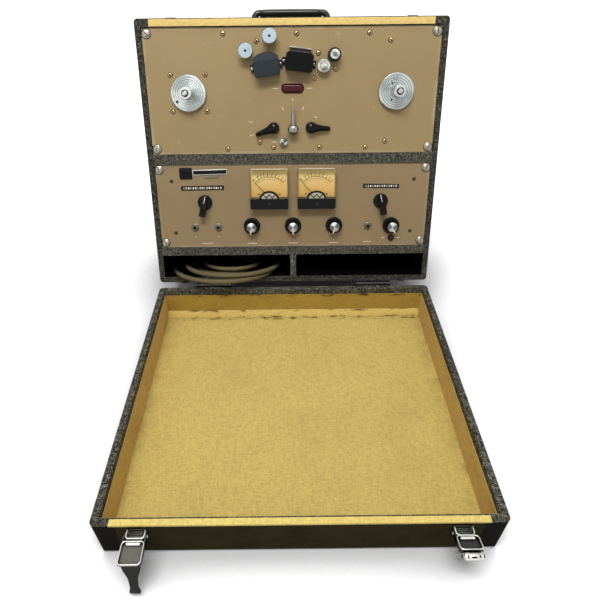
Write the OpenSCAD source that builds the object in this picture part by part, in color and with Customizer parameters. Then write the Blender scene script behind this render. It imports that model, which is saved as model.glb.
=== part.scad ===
// Portable reel-to-reel tape recorder in a two-part carrying case.
// The lid lies flat on the ground as a tray, and the case leans back on its rear feet behind it.
// Millimetres. X is to the right, Y runs away from the viewer, Z is up.
// The origin is the centre of the lid's underside.

/* [Case and lid] */
// Outside width of the case and of the lid
case_w = 502; // [490:1:540]
// Depth of the case, front rim to back
case_d = 222; // [215:1:270]
// Outside depth of the lid
lid_d = 70; // [64:1:90]
// Thickness of the covered plywood walls
wall = 9.5; // [8:0.5:12]
// Thickness of the top wall of the case with its cleat
top_wall = 12.5; // [10:0.5:16]
// Radius of the outside corners and edges
corner_r = 6; // [3:0.5:9]
// Thickness of the cloth lining in the lid
lining_t = 1; // [0.8:0.1:2]
// How far below the lid's rim the lining begins
lining_drop = 11; // [6:1:20]
// Depth of the cloth-covered batten along the rear of the lid
batten_d = 12; // [10:1:25]
// Height of the cloth-covered batten
batten_h = 13; // [8:1:13]
// Height of the rubber feet
foot_h = 12; // [11.5:0.5:16]
// Radius of the rubber feet
foot_r = 12; // [8:1:16]

/* [Panels and rails] */
// Height of the transport panel
transport_h = 197; // [190:1:220]
// Height of the amplifier panel
amp_h = 149; // [140:1:170]
// Thickness of both steel panels
panel_t = 3; // [2:0.5:4]
// How far the panels sit behind the rim
recess = 3; // [1:0.5:6]
// Gap round each panel
panel_gap = 0.5; // [0.3:0.1:1]
// Height of the rail between the panels
upper_rail_h = 17; // [12:1:24]
// Height of the rail below the amplifier panel
lower_rail_h = 15; // [10:1:20]
// Height of the two storage compartments
storage_h = 43; // [40:1:60]
// Thickness of the storage shelf and back board
board_t = 6; // [4:0.5:8]
// Depth of the storage compartments
storage_d = 166; // [160:1:180]
// Thickness of the post between the compartments
post_w = 11; // [8:1:16]

/* [Hinge, latch and handle] */
// Distance of each hinge and foot pair from the middle
hinge_x = 150; // [100:5:190]
// Length of each hinge
hinge_len = 66; // [45:3:90]
// How far the hinge axis stands outside the wall
hinge_out = 6.5; // [5.5:0.1:7]
// Distance of each latch from the lid's end
latch_in = 56; // [41:1:100]
// Length of the latch link between its two pivots
link_len = 31; // [26:1:40]
// Length of the finger lever on the latch link
finger_len = 50; // [36:1:51]
// Width of the latch link
link_w = 27; // [24:1:36]
// Angle of the hanging left finger lever below the horizontal
finger_hang = 73; // [60:1:85]
// Angle of the raised right latch link above the horizontal
right_link_up = 15; // [5:1:25]
// Angle by which the right finger lever is folded beneath its link
right_fold = 130; // [110:1:130]
// Length of the carrying handle
handle_len = 148; // [120:1:180]
// Depth of the handle's line behind the rim
handle_y = 111; // [80:1:130]

/* [Transport] */
// Distance of each reel's axis from the panel's end
reel_in = 69; // [61:1:76]
// Radius of the reel tables
table_r = 28.75; // [27:0.25:34]
// Height of the reel hub above the panel
hub_top = 40; // [30:1:44]
// Radius of the reel and motor shafts
shaft_r = 4; // [3:0.5:5]
// Radius of the tape guide rollers
guide_r = 12; // [10:0.5:13]
// Radius of the pinch roller
pinch_r = 10.5; // [9:0.5:12]
// Radius of the capstan cap
capstan_r = 10.5; // [8:0.5:11]
// Height of the head covers
cover_h = 21; // [20:1:30]
// Length of the transport lever
lever_len = 38; // [30:1:42]
// Reach of the two pointer knobs
pointer_len = 33; // [26:1:36]
// Travel of the record button
button_travel = 3; // [2:0.5:4]

/* [Amplifier] */
// Width of the level meters
meter_w = 67; // [56:1:72]
// Height of the level meters
meter_h = 69; // [62:1:74]
// How far the level meters stand out
meter_d = 17; // [15:1:22]
// Spacing of the three level knobs
knob_pitch = 74.5; // [60:0.5:80]
// Radius of the level knobs at the skirt
knob_r = 13.5; // [11:0.5:15]
// Radius of the jack sockets' bore
jack_r = 3.25; // [3.2:0.05:3.3]
// Radius of the control spindles
spindle_r = 3; // [2.5:0.25:3.25]

/* [Mains lead] */
// Diameter of the mains lead
cord_d = 8.5; // [6:0.5:9]
// Clearance of the coil's outer turn to the compartment's sides
coil_side = 8; // [6:1:28]
// How much smaller than the outer turn the upper layer ends, at the plug
coil_step = 7; // [6:1:20]
// Radius of the coil's inner turn
coil_inner = 47; // [40:1:56]

/* [Hidden] */

$fn = 48;
// Running clearance of turning fits, and the air gap between pieces that pass each other
run = 0.05;
air = 0.4;
// Gap left between the two rims when the lid is shut
rim_gap = 0.4;

// Levels up the case, measured from its underside
storage_top = wall + storage_h;
amp_low = storage_top + lower_rail_h;
amp_top = amp_low + amp_h + 2 * panel_gap;
transport_low = amp_top + upper_rail_h;
transport_top = transport_low + transport_h + 2 * panel_gap;
case_h = transport_top + top_wall;
amp_mid = (amp_low + amp_top) / 2;
transport_mid = (transport_low + transport_top) / 2;
inner_w = case_w - 2 * wall;
inner_d = case_d - wall;
panel_w = inner_w - 2 * panel_gap;
rail_d = 20;
cleat = 16;
panel_back = recess + panel_t;
end_x = panel_w / 2;
latch_x = case_w / 2 - latch_in;
reel_x = end_x - reel_in;

// Lean of the case: its rear feet reach the ground when the lid lies flat
foot_inset = foot_r + 16;
heel = rim_gap + case_d - foot_inset + foot_r;
heel_drop = foot_h - hinge_out;
lean = asin(lid_d / norm([heel, heel_drop])) - atan(heel_drop / heel);
hinge_y = case_h / 2 + hinge_out;

// Latch pivots on the lid's front wall
pivot_out = 7;
pivot_low = 12;
latch_z = lid_d - pivot_low;
latch_y = -case_h / 2 - pivot_out;
rivet_r = 1.6;
sheet = 1.5;

// Places on the transport panel, from the panel's middle
guide_lower_at = [-74.7, 62.6];
guide_upper_at = [-36, 83.5];
cover_left_at = [-42.3, 43];
cover_right_at = [11.6, 48];
cover_left_turn = 9;
cover_right_turn = -7;
capstan_at = [51.1, 39.8];
pinch_at = [68.3, 56.3];
record_lens_at = [0.6, 6.3];
lever_at = [1, -58.4];
mode_at = [-31.7, -56.4];
edit_at = [31.7, -56.4];
button_at = [-15.3, -79.4];
mode_angle = 200;
edit_angle = -3;
small_screws_transport = [[-111, 89], [7.4, 88.3], [125, 88.6], [-57.3, 77.6], [159.4, 77.6], [42.9, 59.4],
  [71.4, 35.4], [36.6, 22], [-111.6, -90.4], [-32.3, -88.4], [46.7, -88.7], [125.5, -89.4], [159, -79.7],
  [-56, -79.4]];
table_screw_pitch = 57.5;

// Places on the amplifier panel, from the panel's middle
selector_at = [end_x - 83.8, 8.2];
jack_at = [[63 - end_x, -37.5], [105 - end_x, -37.5], [end_x - 104.7, -37.5]];
level_z = -35.5;
monitor_at = [end_x - 62.8, -37];
pilot_at = [end_x - 61.2, -60.3];
meter_at = [41.6, 32.5];
amp_screw_x = end_x - 27;
small_screws_amp = [for (x = [-1, 1]) for (z = [46.3, -47.7]) [x * amp_screw_x, z]];
selector_tilt = 4;

// Screw insets from the panel corners
screw_shank = 2.5;
corner_x = 7;
corner_z = 8.5;

// Meter build-up: back tray, dial, needle, window
tray_t = 4;
dial_t = 0.8;
band_h = 18.5;
window_t = 1.5;
needle_z = tray_t + dial_t + 3;
needle_pivot = band_h - meter_h / 2 + 2.5;
needle_len = 34;
needle_rest = 46;

// Mains lead: a coil lying in the left compartment, from the gland to the plug
cord_r = cord_d / 2;
coil_x = -(inner_w + post_w) / 4;
coil_outer = (inner_w - post_w) / 4 - coil_side;
coil_end = coil_outer - coil_step;
coil_y = 58;
cord_sides = 6;
rings_per_turn = 24;
coil_turns = 1.5;
layer_rise = cord_d + 0.8;
coil_low = wall + lining_t + 0.7 + cord_r;
back_board_y = storage_d;
gland_len = 30;
plug_len = 40;
plug_r = 13;

// Coil centre line
function blend(t) = t * t * (3 - 2 * t);
function coil_radius(u) = u < coil_turns ? coil_outer - (coil_outer - coil_inner) * u / coil_turns
  : u < coil_turns + 0.5 ? coil_inner
  : coil_inner + (coil_end - coil_inner) * (u - coil_turns - 0.5) / coil_turns;
function coil_level(u) = coil_low
  + (u < coil_turns ? 0 : u < coil_turns + 0.5 ? layer_rise * blend(2 * (u - coil_turns)) : layer_rise);
function coil_point(u) = [coil_x - coil_radius(u) * cos(360 * u), coil_y - coil_radius(u) * sin(360 * u),
  coil_level(u)];
coil_span = 2 * coil_turns + 0.5;
coil_steps = rings_per_turn * coil_span;
lead_in = back_board_y - gland_len;
cord_tail = cord_d;
cord_path = concat(
  [for (y = [lead_in, lead_in - cord_d, (lead_in + coil_y) / 2]) [coil_x - coil_outer, y, coil_low]],
  [for (i = [0 : coil_steps]) coil_point(i / rings_per_turn)],
  [for (k = [1, 2]) [coil_x + coil_end, coil_y + k * cord_tail, coil_low + layer_rise]]);
cord_count = len(cord_path);
function unit(v) = v / norm(v);
function heading(p, i) = i == 0 ? unit(p[1] - p[0])
  : i == len(p) - 1 ? unit(p[i] - p[i - 1]) : unit(p[i + 1] - p[i - 1]);
function ring(c, t, r, n) = let (side = unit(cross(t, [0, 0, 1])), up = cross(side, t))
  [for (k = [0 : n - 1]) c + r * (cos(360 * k / n) * side + sin(360 * k / n) * up)];
cord_gap = min([for (i = [0 : cord_count - 1]) for (j = [i + 6 : 1 : cord_count - 1])
  norm(cord_path[i] - cord_path[j])]) - cord_d;
cord_length = [for (i = [0 : cord_count - 2]) norm(cord_path[i + 1] - cord_path[i])]
  * [for (i = [0 : cord_count - 2]) 1];
echo(cord_gap = cord_gap, cord_length = cord_length, lean = lean, case_h = case_h);

// Frames: the leaning case, a panel seen from the front, and a latch on the lid
module on_case() translate([0, hinge_y, lid_d]) rotate([-lean, 0, 0]) translate([0, rim_gap, hinge_out])
  children();
module on_panel(x, z) on_case() translate([x, recess, z]) rotate([90, 0, 0]) children();
module on_transport(at) on_panel(at.x, transport_mid + at.y) children();
module on_amp(at) on_panel(at.x, amp_mid + at.y) children();
module on_lid_hinge() translate([0, hinge_y, lid_d]) children();
module on_latch(side) translate([side * latch_x, latch_y, latch_z]) children();

// Plain shapes
module round_rect(w, h, r) {
  square([w - 2 * r, h], center = true);
  square([w, h - 2 * r], center = true);
  for (x = [-1, 1]) for (y = [-1, 1]) translate([x * (w / 2 - r), y * (h / 2 - r)]) circle(r);
}
module bullet(l, w, r) {
  translate([0, -w / 2]) square([l - r, w]);
  translate([0, r - w / 2]) square([l, w - 2 * r]);
  for (y = [-1, 1]) translate([l - r, y * (w / 2 - r)]) circle(r);
}
module block(w, h, d, r) linear_extrude(d) round_rect(w, h, r);
module tube_x(r, l) rotate([0, 90, 0]) cylinder(h = l, r = r, center = true);
module ring_cut(r, w, z, d) translate([0, 0, z - d]) difference() {
  cylinder(h = d + 1, r = r + w);
  translate([0, 0, -1]) cylinder(h = d + 3, r = r);
}
module domed_screw(r, h) rotate_extrude()
  polygon([[0, 0], [r, 0], [r, 0.4 * h], [0.8 * r, 0.8 * h], [0.4 * r, h], [0, h]]);
module slot_screw(r, h, slot) difference() {
  union() {
    cylinder(h = h * 0.6, r = r);
    translate([0, 0, h * 0.6]) cylinder(h = h * 0.4, r1 = r, r2 = r * 0.8);
  }
  rotate([0, 0, slot]) translate([-r, -r * 0.12, h * 0.45]) cube([2 * r, r * 0.24, h]);
}

// Case and storage
module case_block() intersection() {
  translate([0, 0, case_h / 2]) rotate([-90, 0, 0]) block(case_w, case_h, case_d, corner_r);
  translate([-case_w / 2, 0, case_h / 2]) rotate([90, 0, 90]) linear_extrude(case_w)
    bullet(case_d, case_h, corner_r);
  rotate([0, 0, 90]) linear_extrude(case_h) bullet(case_d, case_w, corner_r);
}
module case_shell() color("#3b352c") on_case() difference() {
  case_block();
  translate([-inner_w / 2, -1, wall]) cube([inner_w, inner_d + 1, case_h - wall - top_wall]);
}
module panel_rails() color("#4a4439") on_case() {
  translate([-inner_w / 2, 0, storage_top]) cube([inner_w, rail_d, lower_rail_h]);
  translate([-inner_w / 2, 0, amp_top]) cube([inner_w, rail_d, upper_rail_h]);
}
module storage_boards() color("#2a251e") on_case() {
  translate([-inner_w / 2, rail_d, storage_top]) cube([inner_w, storage_d + board_t - rail_d, board_t]);
  difference() {
    translate([-inner_w / 2, back_board_y, wall]) cube([inner_w, board_t, storage_h]);
    translate([coil_x - coil_outer, back_board_y - 1, coil_low]) rotate([-90, 0, 0])
      cylinder(h = board_t + 2, r = cord_r);
  }
  translate([-post_w / 2, 0, wall]) cube([post_w, back_board_y, storage_h]);
}
module panel_cleats() color("#9c7a4a") on_case() for (side = [-1, 1])
  for (span = [[amp_low, amp_top], [transport_low, transport_top]]) difference() {
    translate([side * (inner_w - cleat) / 2 - cleat / 2, panel_back, span[0]])
      cube([cleat, cleat, span[1] - span[0]]);
    for (z = [span[0] + panel_gap + corner_z, span[1] - panel_gap - corner_z])
      translate([side * (panel_w / 2 - corner_x), panel_back - 1, z]) rotate([-90, 0, 0])
        cylinder(h = cleat - 1, r = screw_shank + run);
  }
module case_feet() color("#1c1c1c") on_case() for (x = [-1, 1])
  for (y = [foot_inset + 12, case_d - foot_inset])
    translate([x * (case_w / 2 - 40), y, -foot_h]) cylinder(h = foot_h, r = foot_r);

// Lid
module lid_block() intersection() {
  block(case_w, case_h, lid_d, corner_r);
  translate([-case_w / 2, 0, lid_d]) rotate([0, 90, 0]) linear_extrude(case_w)
    bullet(lid_d, case_h, corner_r);
  translate([0, -case_h / 2, lid_d]) rotate([0, 0, 90]) rotate([0, 90, 0]) linear_extrude(case_h)
    bullet(lid_d, case_w, corner_r);
}
module lid_shell() color("#3b352c") difference() {
  lid_block();
  translate([-inner_w / 2, wall - case_h / 2, wall]) cube([inner_w, case_h - 2 * wall, lid_d]);
}
module lid_lining() color("#c9b45e") {
  difference() {
    translate([-inner_w / 2, wall - case_h / 2, wall])
      cube([inner_w, case_h - 2 * wall, lid_d - wall - lining_drop]);
    translate([-inner_w / 2 + lining_t, wall + lining_t - case_h / 2, wall + lining_t])
      cube([inner_w - 2 * lining_t, case_h - 2 * (wall + lining_t), lid_d]);
  }
  translate([lining_t - inner_w / 2, case_h / 2 - wall - lining_t, wall + lining_t]) rotate([90, 0, 90])
    linear_extrude(inner_w - 2 * lining_t) polygon([[0, 0], [0, batten_h], [-3, batten_h], [1 - batten_d, 3],
      [-batten_d, 0]]);
}

// Hinges: the case leaf carries the outer knuckles and the pin, the lid leaf the middle one
knuckle_r = 4.3;
leaf_t = 2;
leaf_w = 26;
pin_r = 2;
third = hinge_len / 3;
module hinge_leaf(spans) for (side = [-1, 1]) translate([side * hinge_x, 0, 0]) difference() {
  union() {
    translate([-hinge_len / 2, 1, hinge_out - leaf_t]) cube([hinge_len, leaf_w, leaf_t]);
    for (x = spans) translate([x, 0, 0]) {
      tube_x(knuckle_r, third - air);
      translate([-(third - air) / 2, 0, 0]) cube([third - air, knuckle_r, hinge_out]);
    }
  }
  tube_x(pin_r + run, hinge_len + 2);
}
module hinge_case_leaves() color("#8d8a80") on_lid_hinge() rotate([-lean, 0, 0]) {
  hinge_leaf([-third, third]);
  for (side = [-1, 1]) translate([side * hinge_x, 0, 0]) tube_x(pin_r, hinge_len);
}
module hinge_lid_leaves() color("#8d8a80") on_lid_hinge() mirror([0, 1, 0]) rotate([-90, 0, 0])
  hinge_leaf([0]);

// Latches: base with a loop between its ears, swinging link (a shallow tray), finger lever at the link's end
ear_x = link_w / 2 - sheet - air - sheet / 2;
loop_out = 3.6;
loop_up = 5;
module latch_bases() color("#b9b6ab") for (side = [-1, 1]) on_latch(side) {
  difference() {
    union() {
      translate([-link_w / 2 - 2, pivot_out - sheet, -12]) cube([link_w + 4, sheet, pivot_low + 10]);
      for (x = [-1, 1]) translate([x * ear_x - sheet / 2, -loop_out, -3])
        cube([sheet, pivot_out + loop_out, 3 + loop_up]);
      translate([-ear_x, -loop_out, loop_up - sheet]) cube([2 * ear_x, sheet, sheet]);
    }
    tube_x(rivet_r, link_w);
  }
  tube_x(rivet_r, link_w + 1.5);
}
tray_low = 2.5;
tray_rim = 3.5;
module latch_link(side, up) on_latch(side) rotate([-up, 0, 0]) {
  difference() {
    union() {
      for (x = [-1, 1]) translate([x * (link_w - sheet) / 2, 0, 0]) {
        translate([-sheet / 2, -link_len, -tray_low]) cube([sheet, link_len, tray_low + tray_rim]);
        tube_x(tray_rim, sheet);
        translate([0, -link_len, 0]) tube_x(tray_rim, sheet);
      }
      translate([-link_w / 2, 9 - link_len, -tray_low]) cube([link_w, link_len - 17, sheet]);
    }
    tube_x(rivet_r + run, link_w + 2);
    translate([0, -link_len, 0]) tube_x(rivet_r, link_w + 2);
  }
  translate([0, -link_len, 0]) tube_x(rivet_r, link_w + 1.5);
}
finger_knuckle = 3;
finger_w = link_w - 2 * sheet - 2 * air;
module finger_plate() difference() {
  union() {
    tube_x(finger_knuckle, finger_w);
    translate([0, 0, -finger_knuckle]) linear_extrude(2) polygon([[-finger_w / 2, 0], [-finger_w / 2, -6],
      [-5.5, -finger_len * 0.58], [-4.75, -finger_len * 0.74], [-7, -finger_len], [7, -finger_len],
      [4.75, -finger_len * 0.74], [5.5, -finger_len * 0.58], [finger_w / 2, -6], [finger_w / 2, 0]]);
  }
  tube_x(rivet_r + run, link_w);
  translate([0, -finger_knuckle - 4, 0]) cube([11, 2.6, 10], center = true);
}
module latch_finger(side, up, fold) on_latch(side) rotate([-up, 0, 0]) translate([0, -link_len, 0])
  rotate([fold, 0, 0]) finger_plate();
module latch_link_left() color("#b9b6ab") latch_link(-1, 0);
module latch_link_right() color("#b9b6ab") latch_link(1, right_link_up);
module latch_finger_left() color("#55534c") latch_finger(-1, 0, finger_hang);
module latch_finger_right() color("#b9b6ab") latch_finger(1, right_link_up, right_fold);
keeper_h = 3.2;
keeper_w = 21;
keeper_d = 22;
keeper_y = 12;
hook_w = 16;
hook_y = 16;
module latch_keepers() color("#b9b6ab") on_case() for (side = [-1, 1])
  translate([side * latch_x, 0, case_h]) {
    translate([-keeper_w / 2, keeper_y, 0]) cube([keeper_w, keeper_d, 1.2]);
    translate([-hook_w / 2, hook_y, 0]) cube([hook_w, 1.6, keeper_h]);
    translate([-hook_w / 2, hook_y, keeper_h - 1]) cube([hook_w, 4, 1]);
  }

// Carrying handle: moulded bow that swings on two ear brackets
handle_low = 8;
bow_up = 13.5;
bow_bend = 9.5;
bow_tube = 5.5;
grip_w = 22;
grip_l = 96;
ear_t = 3;
lug_w = 2 * bow_tube;
lug_x = handle_len / 2 - bow_tube - ear_t - air;
handle_pin_r = 2.5;
module on_handle() on_case() translate([0, handle_y, case_h + handle_low]) children();
module handle_grip() color("#151515") on_handle() difference() {
  union() {
    translate([0, 0, bow_up]) tube_x(bow_tube, 2 * (lug_x - bow_bend));
    translate([-grip_l / 2, 0, bow_up]) rotate([90, 0, 90]) block(grip_w, 2 * bow_tube, grip_l, bow_tube - 1);
    for (side = [0, 180]) rotate([0, 0, side]) translate([lug_x - bow_bend, 0, bow_up - bow_bend])
      rotate([90, 0, 0]) rotate_extrude(angle = 90) translate([bow_bend, 0]) circle(bow_tube);
    for (side = [-1, 1]) translate([side * lug_x, 0, 0]) {
      tube_x(bow_tube, lug_w);
      cylinder(h = bow_up - bow_bend, r = bow_tube);
    }
  }
  tube_x(handle_pin_r + run, handle_len + 10);
}
bracket_d = 22;
module handle_brackets() color("#b9b6ab") on_handle() for (side = [-1, 1]) translate([side * lug_x, 0, 0]) {
  translate([-lug_w / 2 - ear_t - air, -bracket_d / 2, -handle_low])
    cube([lug_w + 2 * (ear_t + air), bracket_d, sheet]);
  difference() {
    for (x = [-1, 1]) translate([x * (lug_w / 2 + air + ear_t / 2), 0, 0]) {
      tube_x(5, ear_t);
      translate([-ear_t / 2, -5, -handle_low]) cube([ear_t, 10, handle_low]);
    }
    tube_x(handle_pin_r, handle_len);
  }
  tube_x(handle_pin_r, lug_w + 2 * (ear_t + air));
}

// Panels
screw_spots = [for (x = [-1, 1]) for (z = [-1, 1]) [x, z]];
function corner_at(h, s) = [s.x * (panel_w / 2 - corner_x), s.y * (h / 2 - corner_z)];
module panel_plate(h) translate([0, 0, -panel_t]) difference() {
  block(panel_w, h, panel_t, 1);
  for (s = screw_spots) translate(concat(corner_at(h, s), -1))
    cylinder(h = panel_t + 2, r = screw_shank + run);
}
module hole(at, r) translate([at.x, at.y, -panel_t - 1]) cylinder(h = panel_t + 2, r = r);
module transport_panel() color("#a08558") on_transport([0, 0]) difference() {
  panel_plate(transport_h);
  for (side = [-1, 1]) hole([side * reel_x, 0], shaft_r + 3);
  for (at = [lever_at, mode_at, edit_at]) hole(at, spindle_r + 0.5);
  for (at = [guide_lower_at, guide_upper_at, pinch_at]) hole(at, spindle_r + run);
  hole(capstan_at, spindle_r + 0.5);
  hole(button_at, 4);
  translate([record_lens_at.x, record_lens_at.y, -panel_t - 1]) block(31, 8, panel_t + 2, 3);
}
module amp_panel() color("#98805c") on_amp([0, 0]) difference() {
  panel_plate(amp_h);
  for (side = [-1, 1]) hole([side * selector_at.x, selector_at.y], spindle_r + 0.5);
  for (k = [-1 : 1]) hole([k * knob_pitch, level_z], spindle_r + 0.5);
  hole(monitor_at, spindle_r + 0.5);
  hole(pilot_at, 3.5);
  for (at = jack_at) hole(at, jack_r + 1.8);
  for (side = [-1, 1]) hole([side * meter_at.x, meter_at.y], barrel_r);
}
module corner_screws() color("#c9c4b4") {
  for (s = screw_spots) on_transport(corner_at(transport_h, s)) corner_screw(30 * s.x + 20);
  for (s = screw_spots) on_amp(corner_at(amp_h, s)) corner_screw(50 * s.y - 35);
}
module corner_screw(slot) {
  cylinder(h = 1, r = 7.4);
  translate([0, 0, 1]) slot_screw(5, 3.4, slot);
  translate([0, 0, -panel_t - cleat + 4]) cylinder(h = panel_t + cleat - 4, r = screw_shank);
}
module panel_screws() color("#b39a63") {
  for (at = small_screws_transport) on_transport(at) domed_screw(3.6, 2.2);
  for (s = screw_spots) on_transport(s * table_screw_pitch / 2 - [reel_x, 0]) domed_screw(3.6, 2.2);
  for (at = small_screws_amp) on_amp(at) domed_screw(3.2, 2);
}

// Reel drive
motor_r = 42;
motor_l = 78;
shaft_in = 44;
disc_top = 8;
module reel_table() difference() {
  rotate_extrude() polygon([[0, -panel_t - shaft_in], [shaft_r, -panel_t - shaft_in], [shaft_r, air],
    [9, air], [9, 2.5], [table_r - 1, 2.5], [table_r, 3.5], [table_r, disc_top - 1],
    [table_r - 1.5, disc_top],
    [10, disc_top], [10, hub_top - 5], [9, hub_top - 4], [4.5, hub_top - 4], [4, hub_top - 1], [3, hub_top],
    [0, hub_top]]);
  for (k = [0 : 3]) ring_cut(13 + 3.6 * k, 1.4, disc_top, 0.9);
  ring_cut(6, 1.2, hub_top - 4, 0.8);
}
module supply_table() color("#c8c8c6") on_transport([-reel_x, 0]) reel_table();
module takeup_table() color("#c8c8c6") on_transport([reel_x, 0]) reel_table();
module reel_motors() color("#5d6166") for (side = [-1, 1]) on_transport([side * reel_x, 0]) difference() {
  union() {
    translate([0, 0, -panel_t - 4]) block(74, 74, 4, 6);
    translate([0, 0, -panel_t - motor_l]) rotate_extrude() polygon([[0, 0], [motor_r - 8, 0],
      [motor_r - 8, 6], [motor_r, 10], [motor_r, motor_l - 12], [motor_r - 6, motor_l - 4],
      [0, motor_l - 4]]);
  }
  translate([0, 0, -panel_t - shaft_in - 1]) cylinder(h = shaft_in + 2, r = shaft_r + run);
}

// Tape path
post_r = spindle_r;
roller_h = 18;
module guide_posts() color("#77756e") {
  for (at = [guide_lower_at, guide_upper_at]) on_transport(at) tape_post(roller_h + 1);
  on_transport(pinch_at) tape_post(11);
}
module tape_post(h) {
  translate([0, 0, -panel_t]) cylinder(h = h + panel_t, r = post_r);
  translate([0, 0, -panel_t - 5]) cylinder(h = 5, r = post_r + 3, $fn = 6);
}
module guide_roller() difference() {
  rotate_extrude() polygon([[post_r + run, air], [guide_r - 1.5, air], [guide_r - 1.5, 2], [guide_r - 4, 3],
    [guide_r - 4, roller_h - 4.5], [guide_r, roller_h - 4], [guide_r, roller_h - 0.8],
    [guide_r - 0.8, roller_h], [post_r + run, roller_h]]);
  ring_cut(guide_r - 3, 1, roller_h, 0.5);
}
module guide_roller_lower() color("#d2d2d0") on_transport(guide_lower_at) guide_roller();
module guide_roller_upper() color("#d2d2d0") on_transport(guide_upper_at) guide_roller();
module pinch_tyre() color("#1e1d1c") on_transport(pinch_at) translate([0, 0, 1]) difference() {
  cylinder(h = 12, r = pinch_r);
  translate([0, 0, -1]) cylinder(h = 14, r = pinch_r - 4);
}
module pinch_hub() color("#c4c4c2") on_transport(pinch_at) difference() {
  rotate_extrude() polygon([[0, air], [pinch_r - 4, air], [pinch_r - 4, 14], [pinch_r - 5, 15], [5, 15],
    [4.5, 17.5], [0, 17.5]]);
  translate([0, 0, -1]) cylinder(h = 12.4, r = post_r + run);
}
fly_gap = 10;
fly_t = 12;
capstan_motor_z = panel_t + fly_gap + fly_t + 8;
capstan_motor_l = 62;
capstan_motor_r = 36;
motor_flange_r = 50;
motor_flange_t = 4;
pillar_r = 4;
pillar_at = motor_flange_r - pillar_r - 2;
capstan_in = 30;
fly_r = 38;
module capstan() color("#c9c7bf") on_transport(capstan_at) rotate_extrude() polygon([
  [0, -capstan_motor_z - capstan_in], [spindle_r, -capstan_motor_z - capstan_in], [spindle_r, air],
  [7.5, air], [7.5, 9],
  [capstan_r, 9], [capstan_r, 12], [capstan_r - 0.8, 12.8], [5.5, 13], [5, 17], [0, 17.6]]);
module flywheel() color("#8a8378") on_transport(capstan_at) translate([0, 0, -panel_t - fly_gap - fly_t])
  difference() {
    union() {
      cylinder(h = fly_t, r = fly_r);
      translate([0, 0, -4]) cylinder(h = fly_t + 8, r = 9);
    }
    ring_cut(14, 16, fly_t, 4);
    translate([0, 0, -5]) cylinder(h = fly_t + 10, r = spindle_r);
  }
module capstan_motor() color("#5d6166") on_transport(capstan_at) difference() {
  union() {
    translate([0, 0, -capstan_motor_z - motor_flange_t]) cylinder(h = motor_flange_t, r = motor_flange_r);
    translate([0, 0, -capstan_motor_z - capstan_motor_l]) cylinder(h = capstan_motor_l, r = capstan_motor_r);
    for (a = [30, 150, 270]) rotate([0, 0, a]) translate([pillar_at, 0, -capstan_motor_z - motor_flange_t])
      cylinder(h = capstan_motor_z + motor_flange_t - panel_t, r = pillar_r);
  }
  translate([0, 0, -capstan_motor_z - capstan_in - 1]) cylinder(h = capstan_in + 2, r = spindle_r + run);
}

// Head covers: hooded shells with a sloped brow, a tape slot in each side and a screw ear at each side
cover_wall = 1.6;
cover_corner = 4;
brow_slope = 34;
slot_low = 4;
slot_h = 9;
slot_w = 3;
ear_w = 5.5;
module cover_outline(w, h, grow) intersection() {
  translate([0, h / 2 - 0.72 * w]) circle(0.72 * w + grow, $fn = 96);
  union() {
    square([w - 2 * cover_corner, h + 2 * grow], center = true);
    translate([-w / 2 - grow, -h / 2 + cover_corner]) square([w + 2 * grow, h]);
    for (x = [-1, 1]) translate([x * (w / 2 - cover_corner), cover_corner - h / 2])
      circle(cover_corner + grow);
  }
}
module cover_form(w, h, brow, grow) intersection() {
  translate([0, 0, -1]) linear_extrude(cover_h + 1 + grow) cover_outline(w, h, grow);
  translate([-w, 0, 0]) rotate([90, 0, 90]) linear_extrude(2 * w) polygon([[-h, grow], [-h, cover_h + grow],
    [brow, cover_h + grow], [h, cover_h + grow - (h - brow) * tan(brow_slope)], [h, grow]]);
}
module head_cover(w, h, brow, slot) {
  difference() {
    cover_form(w, h, brow, 0);
    cover_form(w, h, brow, -cover_wall);
    translate([-w, slot, slot_low]) cube([2 * w, slot_w, slot_h]);
  }
  for (x = [-1, 1]) translate([x * (w / 2 + ear_w / 2 - 0.5), -3, 0]) difference() {
    translate([-ear_w / 2 - 0.5, -6, 0]) cube([ear_w + 1, 12, 3]);
    translate([0.3, 0, 1]) cylinder(h = 4, r = 1.8);
  }
}
module on_cover_left() on_transport(cover_left_at) rotate([0, 0, cover_left_turn]) children();
module on_cover_right() on_transport(cover_right_at) rotate([0, 0, cover_right_turn]) children();
module head_cover_left() color("#23262b") on_cover_left() head_cover(42, 36, 6, 1.5);
module head_cover_right() color("#141518") on_cover_right() head_cover(44, 34, 12, 5);
module tape_head(x) translate([x, -15, 0]) linear_extrude(11) {
  translate([-6, 0]) square([12, 8]);
  translate([0, 8]) circle(6);
}
module tape_heads() color("#a9aaa6") {
  on_cover_left() for (x = [-9, 9]) tape_head(x);
  on_cover_right() {
    for (x = [-9, 9]) tape_head(x);
    translate([-18, 17.6, 0]) cube([36, 1.6, 12]);
  }
}

// Lamps and lenses
module indicator_lenses() color("#5a0a14") {
  on_transport(record_lens_at) {
    difference() {
      block(36, 14, 5, 5.5);
      translate([0, 0, 4]) difference() {
        block(40, 20, 3, 1);
        translate([0, 0, -1]) block(33, 11, 5, 4);
      }
    }
    translate([0, 0, -panel_t]) block(30.6, 7.6, panel_t, 2.8);
  }
  on_amp(pilot_at) {
    translate([0, 0, -panel_t]) cylinder(h = panel_t, r = 3.4);
    cylinder(h = 1.5, r = 4.6);
    translate([0, 0, 1.5]) intersection() {
      sphere(4.2);
      cylinder(h = 5, r = 5);
    }
  }
}
module lamp_holders() color("#b7a57a") {
  on_transport(record_lens_at) translate([0, 0, -panel_t - 22]) difference() {
    block(40, 16, 22, 2);
    translate([0, 0, 8]) block(28, 9, 15, 2);
  }
  on_amp(pilot_at) translate([0, 0, -panel_t - 20]) cylinder(h = 20, r = 6);
}

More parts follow.
